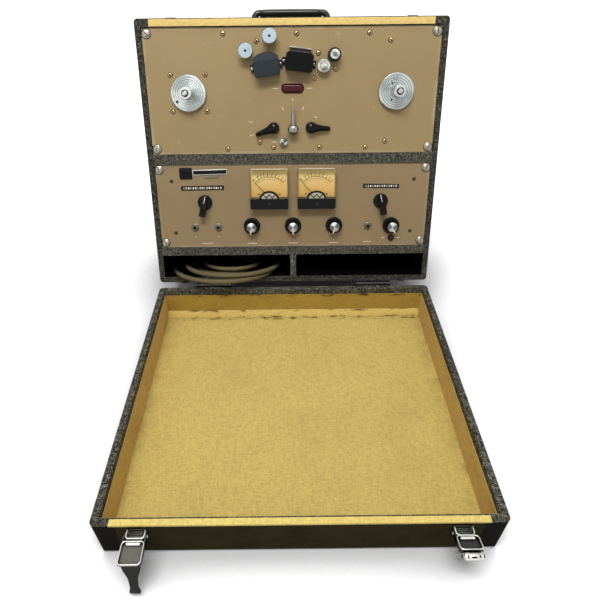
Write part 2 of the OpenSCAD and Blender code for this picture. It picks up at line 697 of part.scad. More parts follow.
// Turned and pressed controls
module spindle(body_in) translate([0, 0, -panel_t - body_in])
  cylinder(h = panel_t + body_in + 1, r = spindle_r);
control_in = 11;
module transport_lever() color("#b5b3ab") on_transport(lever_at) {
  spindle(control_in);
  translate([0, 0, air]) cylinder(h = 6, r1 = 9, r2 = 8);
  difference() {
    translate([0, 0, 12]) sphere(9);
    translate([0, 0, 20]) cylinder(h = 5, r = 3);
  }
  translate([0, 4, 13]) rotate([-87, 0, 0]) cylinder(h = lever_len - 4, r1 = 3.6, r2 = 2);
}
module pointer_knob(angle) rotate([0, 0, angle]) {
  spindle(control_in);
  translate([0, 0, air]) cylinder(h = 13, r1 = 9.6, r2 = 8.8);
  translate([0, 0, 13 + air]) cylinder(h = 2.5, r1 = 8.8, r2 = 6);
  hull() {
    translate([4, 0, air + 1.5]) cylinder(h = 11, r = 6.5, $fn = 32);
    translate([pointer_len - 3.5, 0, air + 1.5]) cylinder(h = 7.5, r = 3.5, $fn = 32);
  }
}
module mode_knob() color("#141414") on_transport(mode_at) pointer_knob(mode_angle);
module edit_knob() color("#141414") on_transport(edit_at) pointer_knob(edit_angle);
module record_button() color("#d0d0ce") on_transport(button_at) {
  translate([0, 0, -panel_t - 8]) cylinder(h = panel_t + 9 + button_travel, r = 3.5);
  translate([0, 0, button_travel + air]) rotate_extrude()
    polygon([[0, 0], [6.9, 0], [6.9, 3], [6, 4.4], [3.5, 5.4], [0, 5.8]]);
}
module selector_knob(tilt) rotate([0, 0, tilt]) {
  spindle(control_in);
  translate([0, 0, air]) cylinder(h = 4, r1 = 12, r2 = 11.2);
  hull() {
    translate([0, -18, 3]) cylinder(h = 15, r = 4.6, $fn = 32);
    translate([0, 6, 3]) cylinder(h = 15, r = 5.4, $fn = 32);
    translate([0, 15, 3]) cylinder(h = 11, r = 1.6, $fn = 32);
  }
}
module selector_left() color("#131313") on_amp([-selector_at.x, selector_at.y]) selector_knob(-selector_tilt);
module selector_right() color("#131313") on_amp([selector_at.x, selector_at.y]) selector_knob(selector_tilt);
module round_knob(r, turn) rotate([0, 0, turn]) {
  spindle(control_in);
  difference() {
    translate([0, 0, air]) rotate_extrude() polygon([[0, 0], [r, 0], [r, 2.4], [r - 1.2, 3.4], [r - 2.6, 4],
      [r - 3.4, 15.4], [r - 4.2, 16.2], [0, 16.2]]);
    translate([0, 0, 15.6 + air]) cylinder(h = 3, r = r - 4.8);
    for (a = [0 : 30 : 359]) rotate([0, 0, a + 15]) translate([r - 2.2, 0, 5]) cylinder(h = 20, r = 0.8);
  }
}
module level_knob(k) on_amp([k * knob_pitch, level_z]) round_knob(knob_r, -12 * k * k);
module level_knob_left() color("#161616") level_knob(-1);
module level_knob_middle() color("#161616") level_knob(0);
module level_knob_right() color("#161616") level_knob(1);
module monitor_knob() color("#161616") on_amp(monitor_at) round_knob(knob_r, 25);

// Switch, potentiometer and button bodies behind the panels
small_body_r = 12;
switch_r = 14;
wafer_r = 18;
lever_body_h = 34;
switch_h = 26;
wafer_h = 34;
level_body_h = 18;
monitor_body_h = 22;
button_body = 13;
button_body_h = 16;
module control_body(r, h) translate([0, 0, -panel_t - h]) difference() {
  cylinder(h = h, r = r);
  translate([0, 0, h - control_in - 1]) cylinder(h = control_in + 2, r = spindle_r + run);
}
module control_bodies() color("#6b6e70") {
  on_transport(lever_at) control_body(small_body_r, lever_body_h);
  for (at = [mode_at, edit_at]) on_transport(at) control_body(switch_r, switch_h);
  on_transport(button_at) translate([0, 0, -panel_t - button_body_h]) difference() {
    block(button_body, button_body, button_body_h, 1);
    translate([0, 0, button_body_h - 8 - button_travel - 1]) cylinder(h = 14, r = 3.5 + run);
  }
  for (side = [-1, 1]) on_amp([side * selector_at.x, selector_at.y]) control_body(wafer_r, wafer_h);
  for (k = [-1 : 1]) on_amp([k * knob_pitch, level_z]) control_body(small_body_r, level_body_h);
  on_amp(monitor_at) control_body(small_body_r, monitor_body_h);
}
module jacks() color("#c3c0b6") for (at = jack_at) on_amp(at) difference() {
  union() {
    cylinder(h = 3, r = 7.2, $fn = 6);
    cylinder(h = 4.2, r = jack_r + 1.7);
    translate([0, 0, -panel_t]) cylinder(h = panel_t, r = jack_r + 1.7);
    translate([0, 0, -panel_t - 24]) cylinder(h = 24, r = 8);
  }
  translate([0, 0, 4.2 - 22]) cylinder(h = 23, r = jack_r);
}

// Level meters
barrel_r = 27;
barrel_d = 30;
module on_meter(side) on_amp([side * meter_at.x, meter_at.y]) children();
module meter_cases() color("#17181a") for (side = [-1, 1]) on_meter(side) difference() {
  union() {
    block(meter_w, meter_h, tray_t, 2.5);
    translate([0, (band_h - meter_h) / 2, 0]) block(meter_w, band_h, meter_d, 2.5);
    intersection() {
      translate([0, needle_pivot - 2, needle_z + 2.5]) cylinder(h = 2, r = 13);
      translate([-20, band_h - meter_h / 2 - 1, 0]) cube(40);
    }
    translate([0, 0, -panel_t - barrel_d]) cylinder(h = panel_t + barrel_d, r = barrel_r - air);
  }
  translate([0, needle_pivot, tray_t - 3]) cylinder(h = 20 - needle_z, r = 0.7 + run);
  translate([0, needle_pivot - 5, needle_z - 1]) cube([11, 12, 3.4], center = true);
}
module on_dial(side) on_meter(side) translate([0, band_h / 2, tray_t]) children();
window_h = meter_h - band_h;
module meter_dials() color("#e2c376") for (side = [-1, 1]) on_dial(side) difference() {
  block(meter_w - 2 * window_t - 1, window_h - 2 * window_t - 1, dial_t, 1);
  translate([0, needle_pivot - band_h / 2, -1]) cylinder(h = 4, r = 2.5);
}
module meter_windows() color("#e8e2c8", 0.35) for (side = [-1, 1]) on_dial(side) difference() {
  block(meter_w, window_h, meter_d - tray_t, 2);
  translate([0, -2, -window_t])
    block(meter_w - 2 * window_t, window_h + 4 - 2 * window_t, meter_d - tray_t, 1);
}
module meter_needle(side) on_meter(side) translate([0, needle_pivot, 0]) {
  translate([0, 0, tray_t - 2]) cylinder(h = needle_z - tray_t + 3, r = 0.7);
  translate([0, 0, needle_z]) cylinder(h = 1.6, r = 1.8);
  rotate([0, 0, needle_rest]) translate([-0.4, 0, needle_z + 0.3]) cube([0.8, needle_len, 0.6]);
}
module meter_needle_left() color("#3a2a1a") meter_needle(-1);
module meter_needle_right() color("#3a2a1a") meter_needle(1);

// Amplifier chassis behind the lower panel
chassis_side = 31.5;
chassis_w = inner_w - 2 * chassis_side;
deck_y = 62;
deck_d = 118;
skirt_h = 12;
deck_z = storage_top + board_t + skirt_h;
deck_t = 2;
module amp_chassis() color("#9fa19c") on_case() {
  translate([-chassis_w / 2, deck_y, deck_z]) cube([chassis_w, deck_d, deck_t]);
  for (y = [deck_y, deck_y + deck_d - deck_t]) translate([-chassis_w / 2, y, deck_z - skirt_h])
    cube([chassis_w, deck_t, skirt_h]);
  for (x = [-1, 1]) translate([x * (chassis_w - deck_t) / 2 - deck_t / 2, panel_back, deck_z])
    cube([deck_t, deck_y + deck_d - panel_back, 30]);
}
valve_r = 11;
valve_h = 55;
valve_base = 6;
valve_pitch = 40;
valve_side = 60;
valve_rows = [40, 85];
valve_at = [for (y = valve_rows) for (k = [0 : 2]) [valve_side + k * valve_pitch - chassis_w / 2, y]];
module valves() color("#cfd6d4", 0.5) on_case() for (at = valve_at)
  translate([at.x, deck_y + at.y, deck_z + deck_t]) rotate_extrude() polygon([[0, 0], [valve_r, 0],
    [valve_r, valve_base], [valve_r - 1, valve_base + 2], [valve_r - 1, valve_h - 9],
    [valve_r - 4, valve_h - 3], [2, valve_h], [0, valve_h]]);
mains_core = [56, 74, 62];
audio_core = [34, 52, 48];
mains_side = 190;
audio_sides = [115, 50];
module transformer(side, core) translate([chassis_w / 2 - side, deck_y + deck_d / 2, deck_z + deck_t])
  block(core.x, core.y, core.z, 3);
module transformers() color("#4a4a48") on_case() {
  transformer(mains_side, mains_core);
  for (side = audio_sides) transformer(side, audio_core);
}

// Mains lead
module cord_gland() color("#2b2a27") on_case() translate([coil_x - coil_outer, back_board_y, coil_low])
  rotate([90, 0, 0]) cylinder(h = gland_len, r1 = cord_r + 1.6, r2 = cord_r + 0.8);
module cord_coil() color("#8f8566") on_case() polyhedron(
  points = [for (i = [0 : cord_count - 1])
    each ring(cord_path[i], heading(cord_path, i), cord_r, cord_sides)],
  faces = concat(
    [for (k = [1 : cord_sides - 2]) [0, k, k + 1]],
    [for (i = [0 : cord_count - 2]) for (k = [0 : cord_sides - 1]) each let (a = i * cord_sides + k,
      b = i * cord_sides + (k + 1) % cord_sides)
      [[a, a + cord_sides, b], [b, a + cord_sides, b + cord_sides]]],
    [for (k = [1 : cord_sides - 2]) let (o = (cord_count - 1) * cord_sides) [o, o + k + 1, o + k]]));
module cord_plug() color("#232220") on_case()
  translate([coil_x + coil_end, coil_y + 2 * cord_tail, coil_low + layer_rise]) rotate([-90, 0, 0]) {
    rotate_extrude() polygon([[0, 0], [6, 0], [8, 10], [plug_r, 16], [plug_r, plug_len - 2],
      [plug_r - 2, plug_len], [0, plug_len]]);
    for (x = [-1, 1]) translate([x * 6.35 - 0.8, -3, plug_len]) cube([1.6, 6, 17]);
  }

case_shell();
panel_rails();
storage_boards();
panel_cleats();
transport_panel();
amp_panel();
corner_screws();
panel_screws();
case_feet();
handle_brackets();
hinge_case_leaves();
latch_keepers();
guide_posts();
head_cover_left();
head_cover_right();
tape_heads();
reel_motors();
capstan_motor();
indicator_lenses();
lamp_holders();
meter_cases();
meter_dials();
meter_windows();
jacks();
amp_chassis();
valves();
transformers();
control_bodies();
cord_gland();
cord_coil();
cord_plug();
lid_shell();
lid_lining();
hinge_lid_leaves();
latch_bases();
latch_link_left();
latch_link_right();
latch_finger_left();
latch_finger_right();
handle_grip();
supply_table();
takeup_table();
guide_roller_lower();
guide_roller_upper();
pinch_tyre();
pinch_hub();
capstan();
flywheel();
transport_lever();
mode_knob();
edit_knob();
record_button();
selector_left();
selector_right();
level_knob_left();
level_knob_middle();
level_knob_right();
monitor_knob();
meter_needle_left();
meter_needle_right();
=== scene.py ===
"""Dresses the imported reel-to-reel tape recorder: cloth case, painted panels, controls, meters and mains lead."""

import logging
import math
from dataclasses import dataclass, field
from enum import Enum
from typing import Optional, Sequence, Union

import bmesh
import bpy
from mathutils import Matrix, Vector, noise


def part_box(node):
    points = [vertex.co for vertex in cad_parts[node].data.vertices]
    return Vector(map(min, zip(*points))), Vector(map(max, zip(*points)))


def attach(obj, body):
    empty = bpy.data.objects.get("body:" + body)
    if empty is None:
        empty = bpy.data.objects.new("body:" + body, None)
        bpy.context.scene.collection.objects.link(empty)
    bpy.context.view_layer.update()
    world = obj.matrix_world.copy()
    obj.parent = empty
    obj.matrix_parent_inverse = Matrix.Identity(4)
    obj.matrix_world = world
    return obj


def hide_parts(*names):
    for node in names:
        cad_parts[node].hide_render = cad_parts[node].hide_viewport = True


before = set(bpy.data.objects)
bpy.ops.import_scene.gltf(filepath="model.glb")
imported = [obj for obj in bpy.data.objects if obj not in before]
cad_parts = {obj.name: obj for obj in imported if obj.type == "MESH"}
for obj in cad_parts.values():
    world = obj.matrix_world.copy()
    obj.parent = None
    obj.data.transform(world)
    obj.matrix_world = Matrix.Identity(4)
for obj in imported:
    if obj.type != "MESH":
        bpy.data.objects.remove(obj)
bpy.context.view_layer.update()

LOG = logging.getLogger("tape_recorder")
MM = 0.001
Socket = bpy.types.NodeSocket
Value = Union[Socket, float, int, Sequence[float]]
Material = bpy.types.Material
Shape = bmesh.types.BMesh
Colour = tuple[float, float, float, float]
Point = tuple[float, float]


def srgb(r: float, g: float, b: float) -> Colour:
    """Turns a display colour into a linear one.

    Args:
        r: Red from 0 to 255.
        g: Green from 0 to 255.
        b: Blue from 0 to 255.

    Returns:
        Linear red, green, blue and an alpha of 1.
    """

    def lin(c: float) -> float:
        """One channel, display to linear."""
        c /= 255
        return c / 12.92 if c <= 0.04045 else ((c + 0.055) / 1.055) ** 2.4

    return lin(r), lin(g), lin(b), 1.0


def scaled(colour: Sequence[float], factor: float) -> Colour:
    """A lighter or darker version of a colour."""
    r, g, b = (min(1.0, c * factor) for c in colour[:3])
    return r, g, b, 1.0


def polar(r: float, degrees: float) -> Point:
    """The point at that distance and angle from the origin."""
    return r * math.cos(math.radians(degrees)), r * math.sin(math.radians(degrees))


def spin(degrees: float, axis: str) -> Matrix:
    """A turn about one axis."""
    return Matrix.Rotation(math.radians(degrees), 4, axis)


def shift(x: float, y: float, z: float = 0, turn: float = 0) -> Matrix:
    """A move and a turn about Z within a piece, in millimetres and degrees."""
    return Matrix.Translation((x, y, z)) @ spin(turn, "Z")


def metres(x: float, y: float, z: float) -> Matrix:
    """A move given in millimetres, as a matrix in metres."""
    return Matrix.Translation(Vector((x, y, z)) * MM)


def within(home: Matrix, at: Matrix) -> Matrix:
    """A place in metres as seen from another, in millimetres."""
    local = home.inverted() @ at
    local.translation = local.translation / MM
    return local


@dataclass(frozen=True)
class Stance:
    """Where the leaning case stands behind the lid, in millimetres."""

    width: float = 502
    height: float = 445
    depth: float = 222
    lid_depth: float = 70
    wall: float = 9.5
    top_wall: float = 12.5
    hinge_out: float = 6.5
    rim_gap: float = 0.4
    foot_height: float = 12
    heel: float = 206.4
    recess: float = 3
    transport_mid: float = 333.5
    amp_mid: float = 142.5
    rim_short: float = 46

    @property
    def lean(self) -> float:
        """Backward lean of the case in radians."""
        drop = self.foot_height - self.hinge_out
        return math.asin(self.lid_depth / math.hypot(self.heel, drop)) - math.atan(drop / self.heel)

    @property
    def case(self) -> Matrix:
        """Case coordinates (right, back, up from its lower front edge) to the row frame, in metres."""
        pivot = metres(0, self.height / 2 + self.hinge_out, self.lid_depth)
        return pivot @ Matrix.Rotation(-self.lean, 4, "X") @ metres(0, self.rim_gap, self.hinge_out)

    def panel(self, x: float, z: float, out: float = 0, turn: float = 0) -> Matrix:
        """Place on a panel, with local Z pointing out of it.

        Args:
            x: Distance right of the middle, in millimetres.
            z: Height up the case, in millimetres.
            out: Distance in front of the panel, in millimetres.
            turn: Turn seen from the front, anticlockwise, in degrees.

        Returns:
            The placing matrix in metres.
        """
        return self.case @ metres(x, self.recess - out, z) @ spin(90, "X") @ spin(turn, "Z")

    def transport(self, at: Sequence[float], out: float = 0, turn: float = 0) -> Matrix:
        """Place on the transport panel, from its middle."""
        return self.panel(at[0], self.transport_mid + at[1], out, turn)

    def amp(self, at: Sequence[float], out: float = 0, turn: float = 0) -> Matrix:
        """Place on the amplifier panel, from its middle."""
        return self.panel(at[0], self.amp_mid + at[1], out, turn)


STANCE = Stance()


class Space(Enum):
    """The coordinates that a finish's pattern follows."""

    ROW = "row"
    CASE = "case"


class Nodes:
    """A node tree, with short ways to add and join nodes."""

    def __init__(self, tree: bpy.types.NodeTree) -> None:
        """Wraps a tree."""
        self.tree = tree

    def put(self, target: Socket, value: Value) -> None:
        """Links a socket, or sets its plain value."""
        if isinstance(value, Socket):
            self.tree.links.new(value, target)
        else:
            target.default_value = value

    def fill(self, node: bpy.types.Node, **inputs: Value) -> bpy.types.Node:
        """Fills a node's inputs by name, with underscores for spaces, and returns it."""
        for key, value in inputs.items():
            self.put(node.inputs[key.replace("_", " ")], value)
        return node

    def add(self, kind: str, **inputs: Value) -> bpy.types.Node:
        """Adds a shader node of that kind and fills its inputs."""
        return self.fill(self.tree.nodes.new(f"ShaderNode{kind}"), **inputs)

    def work(self, kind: str, what: str, values: Sequence[Value]) -> bpy.types.Node:
        """Adds a node that does an operation on values.

        Args:
            kind: Kind of node.
            what: The operation.
            values: Its inputs, in order.

        Returns:
            The node.
        """
        node = self.add(kind)
        node.operation = what
        for target, value in zip(node.inputs, values):
            self.put(target, value)
        return node

    def math(self, what: str, *values: Value) -> Socket:
        """A math node's result."""
        return self.work("Math", what, values).outputs[0]

    def vector(self, what: str, *values: Value) -> Socket:
        """A vector math node's result, which is a number for a length or a dot product."""
        outputs = self.work("VectorMath", what, values).outputs
        return outputs["Value" if what in ("LENGTH", "DOT_PRODUCT") else "Vector"]

    def span(self, value: Value, low: float, high: float, smooth: bool = True) -> Socket:
        """Rises from 0 at low to 1 at high."""
        node = self.add("MapRange", Value=value, From_Min=low, From_Max=high)
        node.interpolation_type = "SMOOTHSTEP" if smooth else "LINEAR"
        return node.outputs[0]


class Graph(Nodes):
    """A material's node tree around one Principled shader."""

    def __init__(self, name: str, space: Space = Space.ROW) -> None:
        """Starts the material.

        Args:
            name: Material name.
            space: Coordinates for its patterns.
        """
        self.material = bpy.data.materials.new(name)
        self.material.use_nodes = True
        super().__init__(self.material.node_tree)
        self.tree.nodes.clear()
        self.output = self.add("OutputMaterial")
        self.shader = self.add("BsdfPrincipled")
        self.put(self.output.inputs[0], self.shader.outputs[0])
        coords = self.add("TexCoord")
        self.where: Socket = coords.outputs["Object"]
        self.facing: Socket = coords.outputs["Normal"]
        if space is Space.CASE:
            back = STANCE.case.inverted()
            turn = back.to_euler()
            self.where = self.add("Mapping", Location=back.translation, Rotation=turn, Vector=self.where).outputs[0]
            tilt = self.add("Mapping", Rotation=turn, Vector=self.facing)
            tilt.vector_type = "NORMAL"
            self.facing = tilt.outputs[0]

    def set(self, **values: Value) -> None:
        """Sets the Principled shader's sockets, with underscores for spaces."""
        self.fill(self.shader, **values)

    def noise(
        self, scale: float, detail: float = 3, rough: float = 0.55, stretch: Sequence[float] = (1, 1, 1)
    ) -> Socket:
        """A noise value.

        Args:
            scale: Features per metre.
            detail: Octaves.
            rough: Strength of the finer octaves.
            stretch: Scale per axis, smaller for longer features.

        Returns:
            The noise's value socket.
        """
        where = self.add("Mapping", Scale=stretch, Vector=self.where).outputs[0]
        return self.add("TexNoise", Scale=scale, Detail=detail, Roughness=rough, Vector=where).outputs["Fac"]

    def cells(self, scale: float) -> Socket:
        """Distance to the nearest cell centre, for grain."""
        return self.add("TexVoronoi", Scale=scale, Vector=self.where).outputs["Distance"]

    def bands(self, pitch: float, axis: str) -> Socket:
        """Even threads.

        Args:
            pitch: Thread spacing in metres.
            axis: X, Y or Z, the way that the threads follow one another.

        Returns:
            A value from 0 to 1 across each thread.
        """
        node = self.add(
            "TexWave", Scale=math.pi / 10 / pitch, Distortion=0.6, Detail=1, Detail_Scale=0.6, Vector=self.where)
        node.bands_direction = axis
        return node.outputs["Fac"]

    def mix(self, factor: Value, a: Value, b: Value) -> Socket:
        """Blends two colours."""
        node = self.add("Mix")
        node.data_type = "RGBA"
        self.fill(node, Factor=factor, A=a, B=b)
        return next(s for s in node.outputs if s.type == "RGBA")

    def axes(self, vector: Socket) -> dict[str, Socket]:
        """A vector's three numbers by axis name."""
        return dict(zip("xyz", self.add("SeparateXYZ", Vector=vector).outputs))

    def hollows(self, distance: float) -> Socket:
        """Rises from 0 in the open to 1 in tight recesses of that size in metres."""
        node = self.add("AmbientOcclusion", Distance=distance)
        node.samples = 8
        return self.math("SUBTRACT", 1.0, node.outputs["AO"])

    def upward(self, low: float, high: float) -> Socket:
        """Rises from 0 to 1 as the surface turns from facing down to facing up."""
        return self.span(self.axes(self.add("NewGeometry").outputs["Normal"])["z"], low, high)

    def bump(self, height: Socket, strength: float, distance: float, ease: float = 0.0) -> None:
        """Raises the surface's shading by a height pattern.

        Args:
            height: The pattern.
            strength: Share of the effect.
            distance: Height of a full step, in metres.
            ease: Radius to which sharp edges are eased, in metres.
        """
        node = self.add("Bump", Strength=strength, Distance=distance, Height=height)
        if ease:
            edge = self.add("Bevel", Radius=ease)
            edge.samples = 4
            self.fill(node, Normal=edge.outputs[0])
        self.set(Normal=node.outputs[0])


@dataclass(frozen=True)
class Finish:
    """A surface finish, which is drawn once as a material."""

    name: str
    space: Space = field(default=Space.ROW, kw_only=True)

    def draw(self, g: Graph) -> None:
        """Joins the nodes."""
        raise NotImplementedError

    def make(self) -> Material:
        """Builds the material."""
        g = Graph(self.name, self.space)
        self.draw(g)
        return g.material


@dataclass(frozen=True)
class Paint(Finish):
    """Satin stove paint with fine speckle, smudges and worn edges."""

    space: Space = field(default=Space.CASE, kw_only=True)
    colour: Colour
    worn: Colour
    middle: float
    half_height: float
    half_width: float = 241

    def draw(self, g: Graph) -> None:
        """Joins the nodes."""
        smudge = g.span(g.noise(7, 5, 0.6), 0.3, 0.75)
        speck = g.span(g.noise(1500, 2), 0.35, 0.7)
        dark = scaled(self.colour, 0.84)
        pale = scaled(self.colour, 1.12)
        tone = g.mix(g.math("MULTIPLY", smudge, 0.55), self.colour, dark)
        tone = g.mix(g.math("MULTIPLY", speck, 0.35), tone, pale)
        rub = g.math("MULTIPLY", g.span(g.noise(60, 6, 0.75), 0.62, 0.72), 0.35)
        place = g.axes(g.where)
        across = g.math("ABSOLUTE", place["x"])
        upward = g.math("ABSOLUTE", g.math("SUBTRACT", place["z"], self.middle * MM))
        for value, low, high in (
            (across, self.half_width - 7, self.half_width), (upward, self.half_height - 6, self.half_height),
        ):
            edge = g.math("MULTIPLY", g.span(value, low * MM, high * MM), g.span(g.noise(18, 5, 0.7), 0.3, 0.7))
            rub = g.math("MAXIMUM", rub, g.math("MULTIPLY", edge, 0.6))
        tone = g.mix(rub, tone, self.worn)
        g.set(Base_Color=tone, Roughness=g.span(g.noise(25, 4), -0.2, 1.6, False), Specular_IOR_Level=0.22)
        g.bump(g.noise(1300, 2), 0.12, 0.0004)


@dataclass(frozen=True)
class Metal(Finish):
    """Plated or bare metal with fine scratches and some tarnish, and painted shade: darker on down-facing sides and in
    recesses.
    """

    space: Space = field(default=Space.CASE, kw_only=True)
    colour: Colour
    tarnish: Colour
    rough: float = 0.3
    tarnished: float = 0.35
    recess: float = 0.012

    def draw(self, g: Graph) -> None:
        """Joins the nodes."""
        age = g.math("MULTIPLY", g.span(g.noise(90, 6, 0.7), 0.45, 0.75), self.tarnished)
        scratch = g.noise(420, 3, 0.6, (0.2, 1, 3))
        tone = g.mix(age, self.colour, self.tarnish)
        # painted shade: sides that face down are darkened
        tone = g.mix(g.upward(-0.7, 0.75), scaled(self.colour, 0.3), tone)
        # painted shade: recesses darkened by ambient occlusion, over the reach set by recess
        tone = g.mix(g.span(g.hollows(self.recess), 0.1, 0.75), tone, scaled(self.tarnish, 0.12))
        g.set(Base_Color=tone, Metallic=1.0, Roughness=g.math("MULTIPLY_ADD", scratch, 0.22, self.rough - 0.1))
        g.bump(scratch, 0.08, 0.0003, 0.0006)


@dataclass(frozen=True)
class Turned(Finish):
    """Lathe-turned metal with fine rings about an axis, painted reflection rays round the axis, and painted shade on
    down-facing sides and in grooves.
    """

    centre: Vector
    axis: Vector
    colour: Colour
    pitch: float = 0.0011
    rough: float = 0.26
    depth: float = 0.35
    rings: float = 0.14
    star: float = 0.0
    # shade: darkness of the painted reflection rays; groove: darkness of the painted shade in grooves
    shade: float = 0.2
    groove: float = 0.12

    def draw(self, g: Graph) -> None:
        """Joins the nodes."""
        away = g.vector("SUBTRACT", g.where, self.centre)
        size = g.vector("LENGTH", g.vector("CROSS_PRODUCT", away, self.axis))
        rings = g.math("SINE", g.math("MULTIPLY", size, 2 * math.pi / self.pitch))
        grime = g.span(g.noise(140, 5, 0.7), 0.5, 0.78)
        dull = scaled(self.colour, 0.55)
        tone = g.mix(g.math("MULTIPLY", grime, 0.4), self.colour, dull)
        tone = g.mix(g.math("MULTIPLY_ADD", rings, self.rings, self.rings), tone, dull)
        # painted reflection: bright and dark rays round the axis, as brushed metal shows under lamps
        if self.star:
            right = Vector((1, 0, 0))
            spread = [g.vector("DOT_PRODUCT", away, way) for way in (self.axis.cross(right), right)]
            rays = g.math("SINE", g.math("MULTIPLY_ADD", g.math("ARCTAN2", *spread), 2.0, self.star))
            tone = g.mix(g.span(rays, -0.55, 0.75), scaled(self.colour, self.shade), tone)
        # painted shade: sides that face down are darkened
        tone = g.mix(g.upward(-0.6, 0.4), dull, tone)
        # painted shade: grooves darkened by ambient occlusion
        tone = g.mix(g.span(g.hollows(0.004), 0.05, 0.6), tone, scaled(self.colour, self.groove))
        g.set(Base_Color=tone, Metallic=1.0, Roughness=g.math("MULTIPLY_ADD", grime, 0.16, self.rough))
        g.bump(rings, self.depth, 0.00012, 0.0006)


@dataclass(frozen=True)
class Moulding(Finish):
    """Moulded plastic, phenolic or rubber with handling marks, and painted shade in recesses when recess is set."""

    colour: Colour
    rough: float = 0.3
    grain: float = 0.05
    grain_scale: float = 900
    shine: float = 0.2
    ease: float = 0.001
    dust: Colour = (0.12, 0.11, 0.09, 1.0)
    dusty: float = 0.1
    recess: float = 0.0

    def draw(self, g: Graph) -> None:
        """Joins the nodes."""
        film = g.math("MULTIPLY", g.span(g.noise(160, 5, 0.65), 0.42, 0.8), self.dusty)
        tone = g.mix(film, self.colour, self.dust)
        # painted shade: recesses darkened towards black by ambient occlusion
        if self.recess:
            tone = g.mix(g.span(g.hollows(self.recess), 0.3, 0.75), tone, (0.002, 0.002, 0.002, 1.0))
        g.set(
            Base_Color=tone,
            Roughness=g.math("MULTIPLY_ADD", g.noise(220, 4, 0.7), 0.1, self.rough - 0.05),
            Specular_IOR_Level=self.shine,
        )
        g.bump(g.noise(self.grain_scale, 3), self.grain, 0.0004, self.ease)


@dataclass(frozen=True)
class Crackle(Finish):
    """Black crackle enamel on the left head cover."""

    colour: Colour

    def draw(self, g: Graph) -> None:
        """Joins the nodes."""
        cells = g.cells(1500)
        g.set(
            Base_Color=g.mix(g.span(cells, 0.1, 0.7), self.colour, scaled(self.colour, 0.5)),
            Roughness=g.math("MULTIPLY_ADD", cells, 0.25, 0.3),
            Specular_IOR_Level=0.2,
        )
        g.bump(cells, 0.25, 0.0002, 0.0014)


@dataclass(frozen=True)
class Tweed(Finish):
    """Flecked dark case cloth, pasted over plywood."""

    ground: Colour = srgb(34, 33, 30)
    fleck: Colour = srgb(168, 167, 154)
    brown: Colour = srgb(74, 70, 58)

    def cloth(self, g: Graph) -> Socket:
        """The cloth's colour; its weave goes to the bump.

        Args:
            g: The material's graph.

        Returns:
            The colour socket.
        """
        tone: Socket = g.mix(g.span(g.noise(260, 3), 0.42, 0.6), self.ground, self.brown)
        for stretch in ((0.16, 1, 1), (1, 0.16, 1), (1, 1, 0.16)):
            streak = g.span(g.noise(950, 2, 0.6, stretch), 0.585, 0.68)
            tone = g.mix(g.math("MULTIPLY", streak, 0.62), tone, self.fleck)
        dirt = g.span(g.noise(14, 4), 0.45, 0.8)
        tone = g.mix(g.math("MULTIPLY", dirt, 0.4), tone, srgb(30, 26, 21))
        weave = g.math("ADD", g.noise(900, 2, 0.5, (0.2, 1, 1)), g.noise(900, 2, 0.5, (1, 0.2, 0.6)))
        g.bump(weave, 0.55, 0.0005)
        g.set(Roughness=0.85, Sheen_Weight=0.08, Specular_IOR_Level=0.15)
        return tone

    def draw(self, g: Graph) -> None:
        """Joins the nodes."""
        g.set(Base_Color=self.cloth(g))


@dataclass(frozen=True)
class CaseTweed(Tweed):
    """The case's covering: tweed outside; inside the storage space, dark paint deepened to near-black as painted shade.
    """

    # near-black inside the storage space: dark paint deepened as painted shade
    paint: Colour = srgb(2, 2, 2)

    def draw(self, g: Graph) -> None:
        """Joins the nodes."""
        s = STANCE
        place = g.axes(g.where)
        inside = g.span(place["y"], 0.002, 0.004)
        half = s.width / 2 - s.wall
        for value, low, high in (
            (g.math("ABSOLUTE", place["x"]), half + 0.4, half + 0.2),
            (place["y"], s.depth - s.wall + 0.6, s.depth - s.wall + 0.3),
            (place["z"], s.wall - 0.4, s.wall - 0.2),
            (place["z"], s.height - s.top_wall + 0.4, s.height - s.top_wall + 0.2),
        ):
            inside = g.math("MULTIPLY", inside, g.span(value, low * MM, high * MM))
        g.set(Base_Color=g.mix(inside, self.cloth(g), self.paint))
        g.set(Sheen_Weight=0.0, Specular_IOR_Level=0.04)


@dataclass(frozen=True)
class LidTweed(Tweed):
    """The lid's covering: tweed, with a leatherette panel across the front wall whose colour is darkened with painted
    shade.
    """

    # leatherette colour darkened with painted shade on the front wall
    shaded_leather: Colour = srgb(46, 40, 19)
    wrap: Colour = srgb(16, 15, 12)

    def draw(self, g: Graph) -> None:
        """Joins the nodes."""
        tone = self.cloth(g)
        place, face = g.axes(g.where), g.axes(g.facing)
        front = g.span(face["y"], -0.6, -0.9)
        outer = g.span(place["y"], -0.2215, -0.2222)
        inside = g.span(g.math("ABSOLUTE", place["x"]), 0.2225, 0.2215)
        below = g.span(place["z"], 0.0685, 0.067)
        skin = g.math("MULTIPLY", g.math("MULTIPLY", front, outer), below)
        hide = g.mix(g.span(g.noise(30, 5, 0.65), 0.4, 0.75), self.shaded_leather, srgb(34, 30, 14))
        g.set(Base_Color=g.mix(skin, tone, g.mix(inside, self.wrap, hide)), Sheen_Weight=0.0, Specular_IOR_Level=0.04)


